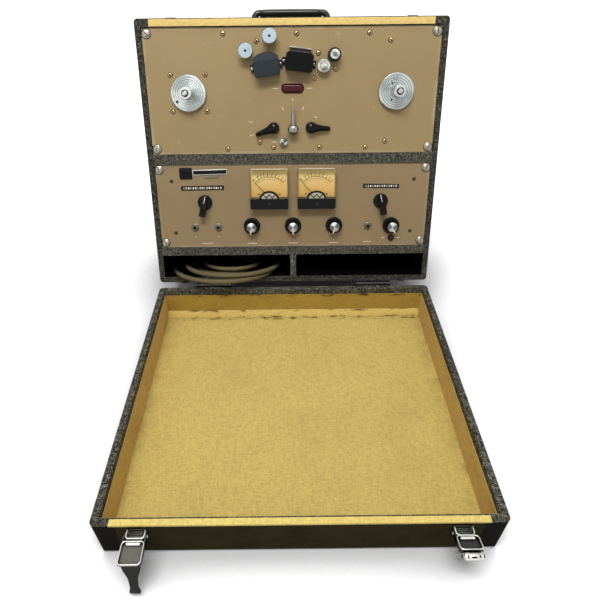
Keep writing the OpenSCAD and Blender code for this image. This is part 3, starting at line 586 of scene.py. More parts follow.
@dataclass(frozen=True)
class Cloth(Finish):
    """Woven lining cloth with age stains."""

    colour: Colour
    stain: Colour
    stained: float = 0.25
    thread: float = 0.0018
    lines: tuple[tuple[str, float, float], ...] = ()
    edge_x: float = 0.0
    edge_y: float = 0.0

    def draw(self, g: Graph) -> None:
        """Joins the nodes."""
        place = g.axes(g.where)
        blotch = g.span(g.noise(9, 6, 0.68), 0.42, 0.78)
        spots = g.span(g.noise(85, 5, 0.7), 0.62, 0.74)
        across = 1 / self.thread
        fine = g.math("ADD", g.noise(across, 2, 0.6, (0.22, 1, 1)), g.noise(across, 2, 0.6, (1, 0.22, 0.6)))
        pale = scaled(self.colour, 1.07)
        dark = scaled(self.colour, 0.83)
        tone = g.mix(g.span(fine, 0.75, 1.2), dark, pale)
        specks = g.span(g.noise(330, 2, 0.5), 0.7, 0.76)
        tone = g.mix(g.math("MULTIPLY", specks, 0.5), tone, self.stain)
        tone = g.mix(g.math("MULTIPLY", blotch, self.stained), tone, self.stain)
        tone = g.mix(g.math("MULTIPLY", spots, self.stained * 0.8), tone, self.stain)
        if self.edge_x:
            edge: Value = 0.0
            for axis, limit in (("x", self.edge_x), ("y", self.edge_y)):
                near = g.span(g.math("ABSOLUTE", place[axis]), limit - 0.045, limit)
                edge = g.math("MAXIMUM", edge, near)
            grime = g.math("MULTIPLY", edge, g.span(g.noise(40, 6, 0.7), 0.3, 0.75))
            tone = g.mix(g.math("MULTIPLY", grime, 0.75), tone, self.stain)
        for axis, at, wide in self.lines:
            near = g.span(g.math("ABSOLUTE", g.math("SUBTRACT", place[axis], at)), wide, wide * 0.3)
            blots = g.span(g.noise(110, 5, 0.75, (0.35, 1, 1)), 0.5, 0.6)
            tone = g.mix(g.math("MULTIPLY", g.math("MULTIPLY", near, blots), 0.85), tone, srgb(70, 44, 16))
        g.set(Base_Color=tone, Roughness=0.9, Sheen_Weight=0.1, Specular_IOR_Level=0.12)
        g.bump(fine, 0.6, 0.0005)


@dataclass(frozen=True)
class Glazing(Finish):
    """Clear moulded cover: see-through with a light sheen."""

    tint: Colour = (0.97, 0.96, 0.92, 1.0)

    def draw(self, g: Graph) -> None:
        """Joins the nodes."""
        edge = g.add("Fresnel", IOR=1.22)
        clear = g.add("BsdfTransparent", Color=self.tint)
        gloss = g.add("BsdfGlossy", Roughness=0.06)
        both = g.add("MixShader")
        for target, source in zip(both.inputs, (edge, clear, gloss)):
            g.put(target, source.outputs[0])
        g.put(g.output.inputs[0], both.outputs[0])
        g.tree.nodes.remove(g.shader)


@dataclass(frozen=True)
class Lens(Finish):
    """Deep red moulded lens with inner ribs."""

    space: Space = field(default=Space.CASE, kw_only=True)
    colour: Colour

    def draw(self, g: Graph) -> None:
        """Joins the nodes."""
        ribs = g.bands(0.0022, "X")
        glow = g.mix(g.math("MULTIPLY", ribs, 0.3), self.colour, srgb(110, 12, 30))
        g.set(Base_Color=glow, Roughness=0.12, Specular_IOR_Level=0.22)
        g.bump(ribs, 0.06, 0.0004)


@dataclass(frozen=True)
class MeterCase(Finish):
    """Meter moulding: black band below, cream body behind the card."""

    space: Space = field(default=Space.CASE, kw_only=True)
    split: float
    black: Colour = srgb(9, 9, 9)
    cream: Colour = srgb(226, 202, 146)

    def draw(self, g: Graph) -> None:
        """Joins the nodes."""
        above = g.span(g.axes(g.where)["z"], self.split, self.split + 0.0005)
        near = g.span(g.axes(g.where)["y"], 0.0034, 0.0029)
        tone = g.mix(g.math("MULTIPLY", above, near), self.black, self.cream)
        g.set(Base_Color=tone, Roughness=0.14, Specular_IOR_Level=0.16)
        g.bump(g.noise(300, 3), 0.02, 0.0004, 0.0012)


@dataclass(frozen=True)
class Ink(Finish):
    """Printed or filled marking."""

    space: Space = field(default=Space.CASE, kw_only=True)
    colour: Colour
    faded: float = 0.2

    def draw(self, g: Graph) -> None:
        """Joins the nodes."""
        wear = g.math("MULTIPLY", g.span(g.noise(900, 3), 0.5, 0.75), self.faded)
        g.set(Base_Color=g.mix(wear, self.colour, srgb(140, 118, 86)), Roughness=0.6)


@dataclass(frozen=True)
class DialCard(Finish):
    """Yellowed meter card, paler towards the top."""

    space: Space = field(default=Space.CASE, kw_only=True)
    low: float
    high: float

    def draw(self, g: Graph) -> None:
        """Joins the nodes."""
        rise = g.span(g.axes(g.where)["z"], self.low, self.high)
        tone = g.mix(rise, srgb(236, 190, 106), srgb(252, 228, 164))
        tone = g.mix(g.math("MULTIPLY", g.noise(60, 4), 0.18), tone, srgb(205, 150, 70))
        g.set(Base_Color=tone, Roughness=0.6)


class Palette:
    """All plain finishes of the recorder, each built once."""

    def __init__(self) -> None:
        """Builds the finishes."""
        self.normal = STANCE.case.to_3x3() @ Vector((0, -1, 0))
        self.silver = (0.60, 0.66, 0.64, 1.0)
        self.case_tweed = CaseTweed(
            "case_tweed", srgb(27, 27, 25), srgb(152, 151, 140), srgb(60, 57, 48), space=Space.CASE).make()
        self.lid_tweed = LidTweed("lid_tweed").make()
        self.transport_paint = Paint(
            "transport_paint", srgb(151, 130, 92), srgb(190, 176, 146), STANCE.transport_mid, 98.5).make()
        self.amp_paint = Paint("amp_paint", srgb(140, 120, 89), srgb(180, 166, 140), STANCE.amp_mid, 74.5).make()
        self.lid_cloth = Cloth(
            "lid_floor_cloth", srgb(197, 174, 99), srgb(150, 132, 72), 0.3,
            edge_x=0.25, edge_y=0.222, lines=(("y", 0.1985, 0.004),)).make()
        self.wall_cloth = Cloth(
            "lid_wall_cloth", srgb(176, 146, 62), srgb(100, 64, 20), 0.4, lines=(("z", 0.057, 0.006),)).make()
        self.side_cloth = Cloth("lid_side_cloth", srgb(205, 168, 82), srgb(120, 84, 30), 0.3).make()
        self.rim_cloth = Cloth("rim_cloth", srgb(222, 199, 116), srgb(170, 130, 60)).make()
        self.case_rim_cloth = Cloth(
            "case_rim_cloth", srgb(222, 194, 122), srgb(170, 130, 60), space=Space.CASE).make()
        self.batten_cloth = Cloth(
            "batten_cloth", srgb(204, 178, 100), srgb(150, 112, 48), 0.3,
            lines=(("y", 0.2, 0.0035), ("y", 0.2095, 0.003))).make()
        # storage boards near-black: painted shade inside the compartments
        self.board = Moulding("shade_dark_board", srgb(12, 11, 10), 0.8, 0.25, 300, shine=0.02, dusty=0.01).make()
        self.rail_tweed = Tweed("rail_tweed", space=Space.CASE).make()
        self.softwood = Moulding("softwood", srgb(150, 116, 74), 0.7, 0.2, 200).make()
        self.steel = Metal("bright_steel", (0.50, 0.50, 0.46, 1), srgb(110, 100, 78), 0.3).make()
        # one latch steel in lit and shaded copies: painted highlight on rims, loops and pins, lit dish steel, and
        # painted shade in the right dish and the tongues
        self.latch_highlight_steel = Metal("latch_highlight_steel", (0.66, 0.66, 0.61, 1), srgb(96, 92, 78), 0.3, 0.5, 0.004).make()
        self.latch_lit_steel = Metal("latch_lit_steel", (0.105, 0.105, 0.09, 1), srgb(70, 66, 54), 0.42, 0.5, 0.006).make()
        self.latch_shade = Metal("latch_shade", (0.05, 0.05, 0.045, 1), srgb(40, 38, 32), 0.4, 0.5, 0.006).make()
        # near-black for black parts, and for painted shade: holes, slots, gaps round screw heads and the shaded left
        # latch finger
        self.black_and_shade = Moulding("black_and_shade", srgb(12, 12, 10), 0.35, 0.05, shine=0.1, dusty=0.05).make()
        self.lever_steel = Metal("lever_steel", (0.34, 0.34, 0.31, 1), srgb(60, 56, 48), 0.22, 0.4, 0.008).make()
        self.dull_steel = Metal("dull_steel", (0.20, 0.19, 0.17, 1), srgb(60, 52, 40), 0.42, 0.5).make()
        # near-black steel for dark parts, and as painted shade on the hinge leaves
        self.dark_steel_and_shade = Metal("blackened_steel_and_shade", (0.035, 0.034, 0.03, 1), srgb(52, 50, 44), 0.4, 0.5).make()
        self.brass = Metal("aged_brass", (0.52, 0.36, 0.19, 1), srgb(96, 70, 36), 0.3, 0.5, 0.003).make()
        self.old_brass = Metal("dark_brass", (0.13, 0.09, 0.045, 1), srgb(60, 44, 26), 0.4, 0.5, 0.003).make()
        self.screw_steel = Metal("screw_steel", (0.40, 0.37, 0.31, 1), srgb(86, 76, 58), 0.34, 0.5, 0.003).make()
        self.nickel = Metal("dull_nickel", (0.19, 0.18, 0.14, 1), srgb(64, 58, 42), 0.4, 0.5, 0.003).make()
        self.alloy = Metal("cast_alloy", (0.35, 0.36, 0.38, 1), srgb(70, 70, 70), 0.5).make()
        self.collar = Metal("hub_collar", (0.66, 0.67, 0.64, 1), srgb(150, 148, 138), 0.35, 0.3).make()
        self.gloss_black = Moulding("gloss_black", srgb(5, 5, 5), 0.12, 0.01, shine=0.14, dusty=0.01).make()
        self.handle_gloss = Moulding("handle_gloss", srgb(22, 24, 19), 0.2, 0.02, shine=0.5, dusty=0.05).make()
        self.matt_black = Moulding("matt_black", srgb(28, 27, 26), 0.5, 0.15, dusty=0.12).make()
        self.rubber = Moulding("black_rubber", srgb(34, 33, 31), 0.62, 0.2, 500, dusty=0.2).make()
        # the cord's coils get painted shade where they crowd together
        self.cord = Moulding(
            "cord_sheath", srgb(100, 90, 64), 0.55, 0.12, 400, dust=srgb(84, 70, 46), dusty=0.55, recess=0.07).make()
        self.crackle = Crackle("black_crackle", srgb(38, 46, 52)).make()
        self.lens = Lens("red_lens", srgb(52, 5, 18)).make()
        self.jewel = Lens("pilot_jewel", srgb(26, 4, 8)).make()
        self.window = Glazing("meter_window").make()
        self.valve_glass = Glazing("valve_glass", (0.9, 0.93, 0.92, 1)).make()
        self.white_ink = Ink("white_marking", srgb(232, 226, 208)).make()
        self.black_ink = Ink("black_marking", srgb(30, 24, 18), 0.0).make()
        self.red_ink = Ink("red_marking", srgb(150, 48, 26), 0.0).make()
        self.silver_ink = Ink("silver_marking", srgb(198, 198, 190), 0.2).make()
        # painted highlight: the clear cover's lit top wall as an opaque pale colour
        self.lit_cover_edge = Moulding("painted_lit_edge", srgb(226, 216, 188), 0.2, 0.02, shine=0.3, dusty=0.05).make()
        self.tape = Moulding("label_tape", srgb(16, 16, 16), 0.34, 0.1, shine=0.2, dusty=0.1).make()

    def turned(self, name: str, place: Matrix, colour: Optional[Colour] = None, **more: float) -> Material:
        """A lathe-turned finish about a place on a panel.

        Args:
            name: Material name.
            place: The turning centre's placing matrix.
            colour: Metal colour, silver when left out.
            more: Other fields of Turned.

        Returns:
            The material.
        """
        return Turned(name, place.translation.copy(), self.normal.copy(), colour or self.silver, **more).make()


def dress(**finishes: Material) -> None:
    """Gives CAD nodes their finishes."""
    for node, material in finishes.items():
        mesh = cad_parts[node].data
        mesh.materials.clear()
        mesh.materials.append(material)


def show(name: str, data: bpy.types.ID) -> bpy.types.Object:
    """Puts an object with that data in the scene."""
    thing = bpy.data.objects.new(name, data)
    bpy.context.scene.collection.objects.link(thing)
    return thing


class Piece:
    """One visual piece, gathered from several shapes."""

    def __init__(self, name: str) -> None:
        """Starts an empty piece of that name."""
        self.name = name
        self.mesh = bpy.data.meshes.new(name)
        self.shape = bmesh.new()

    def add(self, part: Shape, material: Material, at: Matrix = Matrix.Identity(4)) -> "Piece":
        """Adds a shape, and frees it.

        Args:
            part: The shape, in millimetres.
            material: Its finish.
            at: Where it goes, in millimetres within the piece.

        Returns:
            The piece itself.
        """
        names = [m.name for m in self.mesh.materials]
        if material.name not in names:
            self.mesh.materials.append(material)
            names.append(material.name)
        spare = bpy.data.meshes.new("spare")
        bmesh.ops.recalc_face_normals(part, faces=part.faces)
        for face in part.faces:
            face.material_index = names.index(material.name)
            face.smooth = True
        part.to_mesh(spare)
        part.free()
        spare.transform(at)
        self.shape.from_mesh(spare)
        bpy.data.meshes.remove(spare)
        return self

    def place(
        self, at: Matrix, body: str, slot: str, replaces: Sequence[str] = (), crease: float = 35
    ) -> bpy.types.Object:
        """Puts the piece in the scene.

        Args:
            at: Placing matrix, in metres.
            body: The body that it rides on.
            slot: Material slot of the record; not used.
            replaces: CAD nodes that it stands for.
            crease: Angle over which an edge shows sharp, in degrees.

        Returns:
            The new object.
        """
        self.shape.to_mesh(self.mesh)
        self.shape.free()
        self.mesh.transform(at @ Matrix.Scale(MM, 4))
        self.mesh.set_sharp_from_angle(angle=math.radians(crease))
        thing = show(self.name, self.mesh)
        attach(thing, body)
        if replaces:
            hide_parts(*replaces)
        LOG.info("piece %s on %s", self.name, body)
        return thing


def circle(r: float, sides: int) -> list[Point]:
    """Evenly spaced points on a circle about the origin."""
    return [polar(r, 360 * k / sides) for k in range(sides)]


def lathe(profile: Sequence[Point], sides: int = 48) -> Shape:
    """A turned shape about Z.

    Args:
        profile: Radius and height pairs from the bottom up.
        sides: Facets round.

    Returns:
        The shape, in millimetres.
    """
    bm = bmesh.new()
    rings = []
    for r, z in profile:
        count = 1 if r < 1e-6 else sides
        rings.append([bm.verts.new((x, y, z)) for x, y in circle(r, sides)[:count]])
    for low, high in zip(rings, rings[1:]):
        for k in range(sides):
            quad = [low[k % len(low)], low[(k + 1) % len(low)], high[(k + 1) % len(high)], high[k % len(high)]]
            quad = list(dict.fromkeys(quad))
            if len(quad) > 2:
                bm.faces.new(quad)
    for ring in (rings[0], rings[-1]):
        if len(ring) > 2:
            bm.faces.new(ring)
    return bm


def barrel(half: Sequence[Point], sides: int) -> Shape:
    """A turned pin with like ends about Z, from its lower profile."""
    return lathe([*half, *((r, -z) for r, z in half[::-1])], sides)


def slab(outline: Sequence[Point], low: float, high: float, bevel: float = 0.0) -> Shape:
    """A flat plate with eased edges.

    Args:
        outline: Corner points.
        low: Underside height.
        high: Top height.
        bevel: Width of the eased edge.

    Returns:
        The shape, in millimetres.
    """
    bm = bmesh.new()
    base = [bm.verts.new((x, y, low)) for x, y in outline]
    top = [bm.verts.new((x, y, high)) for x, y in outline]
    bm.faces.new(base)
    lid = bm.faces.new(top)
    for k in range(len(base)):
        j = (k + 1) % len(base)
        bm.faces.new((base[k], base[j], top[j], top[k]))
    if bevel:
        bmesh.ops.bevel(bm, geom=list(lid.edges), offset=bevel, segments=2, affect="EDGES", profile=0.6)
    return bm


def block(w: float, h: float, low: float, high: float, bevel: float = 0.0) -> Shape:
    """A rectangular plate about the middle."""
    return slab([(-w / 2, -h / 2), (w / 2, -h / 2), (w / 2, h / 2), (-w / 2, h / 2)], low, high, bevel)


def rounded(w: float, h: float, r: float) -> list[Point]:
    """Outline of a rectangle with round corners about the middle."""
    points = []
    for cx, cy, start in ((1, 1, 0), (-1, 1, 90), (-1, -1, 180), (1, -1, 270)):
        for k in range(7):
            dx, dy = polar(r, start + 15 * k)
            points.append((cx * (w / 2 - r) + dx, cy * (h / 2 - r) + dy))
    return points


def round_block(w: float, h: float, r: float, low: float, high: float, bevel: float = 0.0) -> Shape:
    """A plate with round corners about the middle."""
    return slab(rounded(w, h, r), low, high, bevel)


def skin(bm: Shape, rows: Sequence[Sequence[bmesh.types.BMVert]], around: bool = False) -> None:
    """Joins neighbouring rows of equal point count.

    Args:
        bm: The shape.
        rows: Rows of points, in order.
        around: Joins each row's last point to its first.
    """
    for low, high in zip(rows, rows[1:]):
        for k in range(len(low) if around else len(low) - 1):
            j = (k + 1) % len(low)
            bm.faces.new((low[k], low[j], high[j], high[k]))


def loft(rings: Sequence[Sequence[Sequence[float]]], closed: bool = False) -> Shape:
    """A skin over rings of equal point count.

    Args:
        rings: Rings of points, in order.
        closed: Joins the last ring to the first instead of capping both.

    Returns:
        The shape, in millimetres.
    """
    bm = bmesh.new()
    rows = [[bm.verts.new(p) for p in ring] for ring in rings]
    skin(bm, [*rows, rows[0]] if closed else rows, True)
    if not closed:
        bm.faces.new(rows[0])
        bm.faces.new(rows[-1])
    return bm


def pillow(w: float, h: float, r: float, low: float, high: float, roll: float) -> Shape:
    """A plate with round corners whose top rolls over to its sides.

    Args:
        w: Width.
        h: Height.
        r: Corner radius.
        low: Underside height.
        high: Top height.
        roll: Radius of the rolled edge.

    Returns:
        The shape, in millimetres.
    """
    rings = [[(x, y, low) for x, y in rounded(w, h, r)]]
    for k in range(9):
        a = math.radians(90 * k / 8)
        inset, z = roll * (1 - math.cos(a)), high - roll + roll * math.sin(a)
        rings.append([(x, y, z) for x, y in rounded(w - 2 * inset, h - 2 * inset, max(0.3, r - inset))])
    return loft(rings)


def pan(w: float, h: float, r: float, floor: float, rim: float, wall: float) -> Shape:
    """A pressed dish with round corners about the middle.

    Args:
        w: Width.
        h: Height.
        r: Corner radius.
        floor: Underside height.
        rim: Rim height.
        wall: Sheet thickness.

    Returns:
        The shape, in millimetres.
    """
    outer, inner = rounded(w, h, r), rounded(w - 2 * wall, h - 2 * wall, r - wall)
    steps = ((outer, floor), (outer, rim), (inner, rim), (inner, floor + wall))
    return loft([[(x, y, z) for x, y in line] for line, z in steps])


def wire(line: Sequence[Vector], r: float, normal: Vector, closed: bool = False, sides: int = 10) -> Shape:
    """A round wire along a flat line.

    Args:
        line: Centre points.
        r: Wire radius.
        normal: Normal of the line's plane.
        closed: Joins the end to the start.
        sides: Facets round the wire.

    Returns:
        The shape, in millimetres.
    """
    rings, n = [], len(line)
    for k, p in enumerate(line):
        after, before = (line[(k + 1) % n], line[k - 1]) if closed else (line[min(k + 1, n - 1)], line[max(k - 1, 0)])
        side = (after - before).normalized().cross(normal)
        turns = [2 * math.pi * i / sides for i in range(sides)]
        rings.append([p + r * (math.cos(t) * side + math.sin(t) * normal) for t in turns])
    return loft(rings, closed)


def pointer_line(r0: float, r1: float, length: float) -> list[Point]:
    """Outline of a pointer knob: a round head that draws in to a slim tail.

    Args:
        r0: Head radius.
        r1: Tail radius.
        length: From the head's middle to the tip.

    Returns:
        The outline, counter-clockwise, with the head at the origin and the tail along x.
    """
    start, end = 0.5 * r0, length - r1
    side = []
    for k in range(10):
        t = k / 9
        side.append((start + (end - start) * t, r1 + (0.866 * r0 - r1) * math.exp(-2.6 * t)))
    tip = [(end + x, y) for x, y in (polar(r1, a) for a in range(-72, 73, 24))]
    head = [polar(r0, a) for a in range(75, 286, 15)]
    return [(x, -y) for x, y in side] + tip + side[::-1] + head


def arc_strip(radius: float, width: float, start: float, end: float, low: float, high: float) -> Shape:
    """A printed arc line, angles in degrees from upright, clockwise positive."""
    steps = max(6, int(abs(end - start) / 3))
    turns = [90 - start - (end - start) * k / steps for k in range(steps + 1)]
    inner, outer = ([polar(r, a) for a in turns] for r in (radius - width / 2, radius + width / 2))
    return slab(inner + outer[::-1], low, high)


def slotted_head(r: float, h: float, slot: float = 0.22) -> Shape:
    """A domed screw head with a cut slot.

    Args:
        r: Head radius.
        h: Head height.
        slot: Slot width as a share of the radius.

    Returns:
        The shape, in millimetres.
    """
    bm = bmesh.new()
    half = slot * r / 2
    floor = 0.4 * h
    steps = 12

    def crown(x: float, y: float) -> float:
        """Height of the dome over a point."""
        return h * (0.55 + 0.45 * math.sqrt(max(0.0, 1 - (x * x + y * y) / (r * r))))

    start = math.asin(half / r)
    turns = [start + (math.pi - 2 * start) * k / (2 * steps) for k in range(2 * steps + 1)]
    for side in (-1, 1):
        rows = []
        for share in (1.0, 0.92, 0.7, 0.45, 0.2, 0.0):
            rows.append([(r * math.cos(a), side * (half + (r * math.sin(a) - half) * share)) for a in turns])
        grid = [[(x, y, 0) for x, y in rows[0]], [(x, y, 0.55 * h) for x, y in rows[0]]]
        grid += [[(x, y, crown(x, y)) for x, y in row] for row in rows[1:]]
        grid.append([(x, y, floor) for x, y in rows[-1]])
        skin(bm, [[bm.verts.new(p) for p in row] for row in grid])
    bm.faces.new([bm.verts.new((x, y, floor)) for x, y in circle(r * 0.985, 32)])
    return bm


@dataclass
class Studio:
    """Camera, lamps, floor and backdrop."""

    eye: tuple[float, float, float] = (-0.0133715, -0.5030854, 0.6607289)
    right: tuple[float, float, float] = (0.9999449, -0.0072326, -0.0076117)
    up: tuple[float, float, float] = (0.0104603, 0.6232588, 0.7819457)
    back: tuple[float, float, float] = (-0.0009115, -0.7819822, 0.6233001)
    lens: float = 29.77956
    shift_x: float = 0.0222621
    shift_y: float = -0.0309372
    fill: float = 0.32
    floor_tone: Colour = (0.62, 0.62, 0.62, 1.0)
    shade_reach: float = 0.32
    shade: Point = (0.57, 0.97)

    def build(self) -> None:
        """Makes the camera, lamps, floor and world."""
        data = bpy.data.cameras.new("camera")
        data.lens, data.sensor_width = self.lens, 36
        data.shift_x, data.shift_y = self.shift_x, self.shift_y
        data.clip_start, data.clip_end = 0.01, 50
        camera = show("camera", data)
        turn = Matrix((self.right, self.up, self.back)).transposed().to_4x4()
        camera.matrix_world = Matrix.Translation(self.eye) @ turn
        bpy.context.scene.camera = camera
        self.lamp("overhead", (0.0, -0.3, 2.2), (0, -0.05, 0.1), 1.5, 14)
        self.lamp("front_fill", (-0.9, -1.9, 1.7), (0, 0.25, 0.2), 1.6, 7)
        self.lamp("right_fill", (1.9, -0.4, 1.4), (0, 0.2, 0.2), 1.2, 3)
        self.lamp("glint", (-0.15, -0.5, 1.75), (0, 0.2, 0.25), 0.9, 17.5, 0.25)
        self.backdrop()
        bpy.context.scene.view_settings.view_transform = "Standard"

    def lamp(
        self, name: str, at: Sequence[float], aim: Sequence[float], size: float, power: float,
        depth: Optional[float] = None,
    ) -> None:
        """Adds a soft lamp aimed at a point.

        Args:
            name: Lamp name.
            at: Where it hangs.
            aim: The point that it faces.
            size: Width.
            power: Watts.
            depth: Second size, the same as the width when left out.
        """
        data = bpy.data.lights.new(name, "AREA")
        data.shape = "RECTANGLE"
        data.size, data.size_y, data.energy = size, depth or size, power
        lamp = show(name, data)
        lamp.location = at
        lamp.rotation_euler = (Vector(aim) - Vector(at)).to_track_quat("-Z", "Y").to_euler()

    @staticmethod
    def white_for_eye(nodes: Nodes) -> Socket:
        """1 for rays that should meet plain white: camera, mirror and glass rays."""
        rays = nodes.add("LightPath").outputs
        seen = nodes.math("MAXIMUM", rays["Is Camera Ray"], rays["Is Glossy Ray"])
        return nodes.math("MAXIMUM", seen, rays["Is Transmission Ray"])

    def backdrop(self) -> None:
        """White floor that keeps the lamps' soft shadows, with a painted shadow where its glow dims by ambient
        occlusion, and a white world.
        """
        world = bpy.data.worlds.new("studio_world")
        bpy.context.scene.world = world
        world.use_nodes = True
        sky = Nodes(world.node_tree)
        level = sky.add("MapRange", Value=self.white_for_eye(sky), To_Min=self.fill, To_Max=1.0)
        sky.fill(sky.tree.nodes["Background"], Color=(1, 1, 1, 1), Strength=level.outputs[0])
        mesh = bpy.data.meshes.new("floor")
        bm = bmesh.new()
        bmesh.ops.create_grid(bm, x_segments=1, y_segments=1, size=6)
        bm.to_mesh(mesh)
        bm.free()
        floor = show("floor", mesh)
        g = Graph("floor_white")
        # painted shadow: the floor's glow dims near parts by ambient occlusion
        near = g.add("AmbientOcclusion", Distance=self.shade_reach)
        lit = g.math("MULTIPLY", self.white_for_eye(g), near.outputs["AO"])
        g.set(
            Base_Color=self.floor_tone, Roughness=0.9, Specular_IOR_Level=0.1, Emission_Color=(1, 1, 1, 1),
            Emission_Strength=g.span(lit, *self.shade, False))
        mesh.materials.append(g.material)


@dataclass
class Assembly:
    """A sub-assembly of the recorder."""

    colours: Palette

    def build(self) -> None:
        """Builds the sub-assembly."""
        raise NotImplementedError


@dataclass
class MainsLead(Assembly):
    """The rubber lead coiled in the left compartment, with its gland and plug."""

    diameter: float = 8.5
    outer: float = 110
    ending: float = 103
    inner: float = 47
    turns: float = 1.5
    middle: Point = (-123.5, 58)
    low: float = 15.45
    rise: float = 9.3
    gland_tip: float = 136
    board: float = 166
    steps: int = 48

    def point(self, u: float) -> Vector:
        """Centre line of the coil.

        Args:
            u: Turns from the start.

        Returns:
            The point in case coordinates, in millimetres.
        """
        span = self.outer - self.inner
        step = u - self.turns
        if step < 0:
            r, z = self.outer - span * u / self.turns, 0.0
        elif step < 0.5:
            t = 2 * step
            r, z = self.inner, self.rise * t * t * (3 - 2 * t)
        else:
            r, z = self.inner + (self.ending - self.inner) * (step - 0.5) / self.turns, self.rise
        a = 2 * math.pi * u
        return Vector((self.middle[0] - r * math.cos(a), self.middle[1] - r * math.sin(a), self.low + z))

    def route(self) -> list[Vector]:
        """The whole lead from gland tip to plug, in the row frame in metres."""
        left, right = self.middle[0] - self.outer, self.middle[0] + self.ending
        line = [Vector((left, self.gland_tip - k * (self.gland_tip - self.middle[1]) / 8, self.low)) for k in range(8)]
        count = int(self.steps * (2 * self.turns + 0.5))
        line += [self.point(k / self.steps) for k in range(count + 1)]
        line += [Vector((right, self.middle[1] + k * self.diameter / 2, self.low + self.rise)) for k in range(1, 5)]
        return [STANCE.case @ (p * MM) for p in line]

    def build(self) -> None:
        """Makes the lead, its plug and its gland."""
        line = self.route()
        curve = bpy.data.curves.new("mains_lead", "CURVE")
        curve.dimensions = "3D"
        spline = curve.splines.new("POLY")
        spline.points.add(len(line) - 1)
        for spot, p in zip(spline.points, line):
            spot.co = (*p, 1)
        curve.bevel_depth = self.diameter / 2 * MM
        curve.bevel_resolution = 6
        curve.use_fill_caps = True
        curve.materials.append(self.colours.cord)
        lead = show("mains_lead", curve)
        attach(lead, "case")
        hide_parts("cord_coil")
        self.plug()
        self.gland()

    def plug(self) -> bpy.types.Object:
        """Moulded two-pin plug with finger ribs."""
        body = [(0, 0), (5.6, 0), (6.2, 4), (6.0, 5), (6.8, 9), (6.6, 10), (8.4, 13), (12.2, 16.5), (12.9, 19)]
        for k in range(5):
            z = 21 + 3 * k
            body += [(12.9, z), (12.2, z + 0.8), (12.2, z + 1.6), (12.9, z + 2.2)]
        body += [(12.9, 38), (11.6, 40), (0, 40)]
        piece = Piece("mains_plug").add(lathe(body), self.colours.matt_black)
        for x in (-1, 1):
            piece.add(block(1.5, 6.2, 39.5, 57, 0.3), self.colours.brass, shift(6.35 * x, 0))
        spot = metres(self.middle[0] + self.ending, self.middle[1] + 2 * self.diameter, self.low + self.rise)
        return piece.place(STANCE.case @ spot @ spin(-90, "X"), "case", "black_matte", ["cord_plug"])

    def gland(self) -> bpy.types.Object:
        """Tapered, ribbed rubber strain relief."""
        body = [(0, 0), (6.0, 0), (6.0, 3)]
        for k in range(6):
            z, r = 4 + 4 * k, 5.9 - 0.14 * k
            body += [(r, z), (r, z + 2.2), (r - 0.7, z + 2.6), (r - 0.7, z + 3.6)]
        body += [(5.05, 29), (4.8, 30), (0, 30)]
        spot = metres(self.middle[0] - self.outer, self.board, self.low)
        return Piece("lead_gland").add(lathe(body), self.colours.rubber).place(
            STANCE.case @ spot @ spin(90, "X"), "case", "foot_rubber", ["cord_gland"])


@dataclass
class CarryingCase(Assembly):
    """Cloth-covered case with its rails, storage, handle, feet and hinges."""

    handle_y: float = 111
    handle_low: float = 8
    bow_up: float = 13.5
    bow_bend: float = 9.5
    bow_tube: float = 5.5

    def build(self) -> None:
        """Dresses the case's CAD nodes and adds its cloth strips and handle."""
        c = self.colours
        # the hinge leaves get near-black steel as painted shade in the gap between case and lid
        dress(
            case_shell=c.case_tweed, panel_rails=c.rail_tweed, storage_boards=c.board, panel_cleats=c.softwood,
            case_feet=c.rubber, handle_brackets=c.steel, hinge_case_leaves=c.dark_steel_and_shade, latch_keepers=c.nickel,
            hinge_lid_leaves=c.dark_steel_and_shade)
        self.rim_strip()
        self.post_face()
        self.carry_handle()

    def carry_handle(self) -> None:
        """Moulded bow with a full grip that narrows downwards."""
        c, up, bend = self.colours, self.bow_up, self.bow_bend
        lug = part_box("handle_grip")[1][0] / MM - self.bow_tube
        piece = Piece("carry_handle")
        turn = [math.radians(90 * k / 8) for k in range(9)]
        rise = [Vector((lug - bend + bend * math.cos(t), 0, up - bend + bend * math.sin(t))) for t in turn]
        line = [Vector((lug, 0, 0)), *rise]
        line += [Vector((-v.x, 0, v.z)) for v in line[::-1]]
        piece.add(wire(line, self.bow_tube, Vector((0, 1, 0)), sides=20), c.handle_gloss)
        for side in (-1, 1):
            eye = barrel([(0, -5.4), (5.2, -5.4), (5.5, -5)], 28)
            piece.add(eye, c.handle_gloss, shift(side * lug, 0) @ spin(90, "Y"))
        rings = []
        taper = [(-55, 0.5), (-54, 0.74), (-51, 0.9), (-45, 0.98), (-30, 1)]
        for x, share in (*taper, (0, 1.03), *((-x, share) for x, share in taper[::-1])):
            ring = []
            for k in range(28):
                t = 2 * math.pi * k / 28
                deep, pull = (6.0, 0.0) if math.sin(t) > 0 else (12.8, 0.25)
                wide = 11 * math.cos(t) * (1 - pull * abs(math.sin(t)))
                ring.append((x, share * wide, up + share * deep * math.sin(t)))
            rings.append(ring)
        piece.add(loft(rings), c.handle_gloss)
        at = metres(0, self.handle_y, STANCE.height + self.handle_low)
        piece.place(STANCE.case @ at, "handle", "black_gloss", ["handle_grip"])

    def rim_strip(self) -> None:
        """Pale cloth glued along the front edge of the top wall."""
        s = STANCE
        cloth = block(s.width - s.rim_short, s.top_wall - 2.2, -0.2, 0.2, 0.15)
        strip = Piece("case_rim_strip").add(cloth, self.colours.case_rim_cloth)
        strip.place(s.panel(0, s.height - s.top_wall / 2, s.recess), "case", "lining")

    def post_face(self) -> None:
        """Cloth on the front edge of the post between the compartments."""
        strip = Piece("post_cloth").add(block(11, 42.6, -0.2, 0.35, 0.2), self.colours.rail_tweed)
        strip.place(STANCE.panel(0, STANCE.wall + 21.5, STANCE.recess), "case", "tweed")


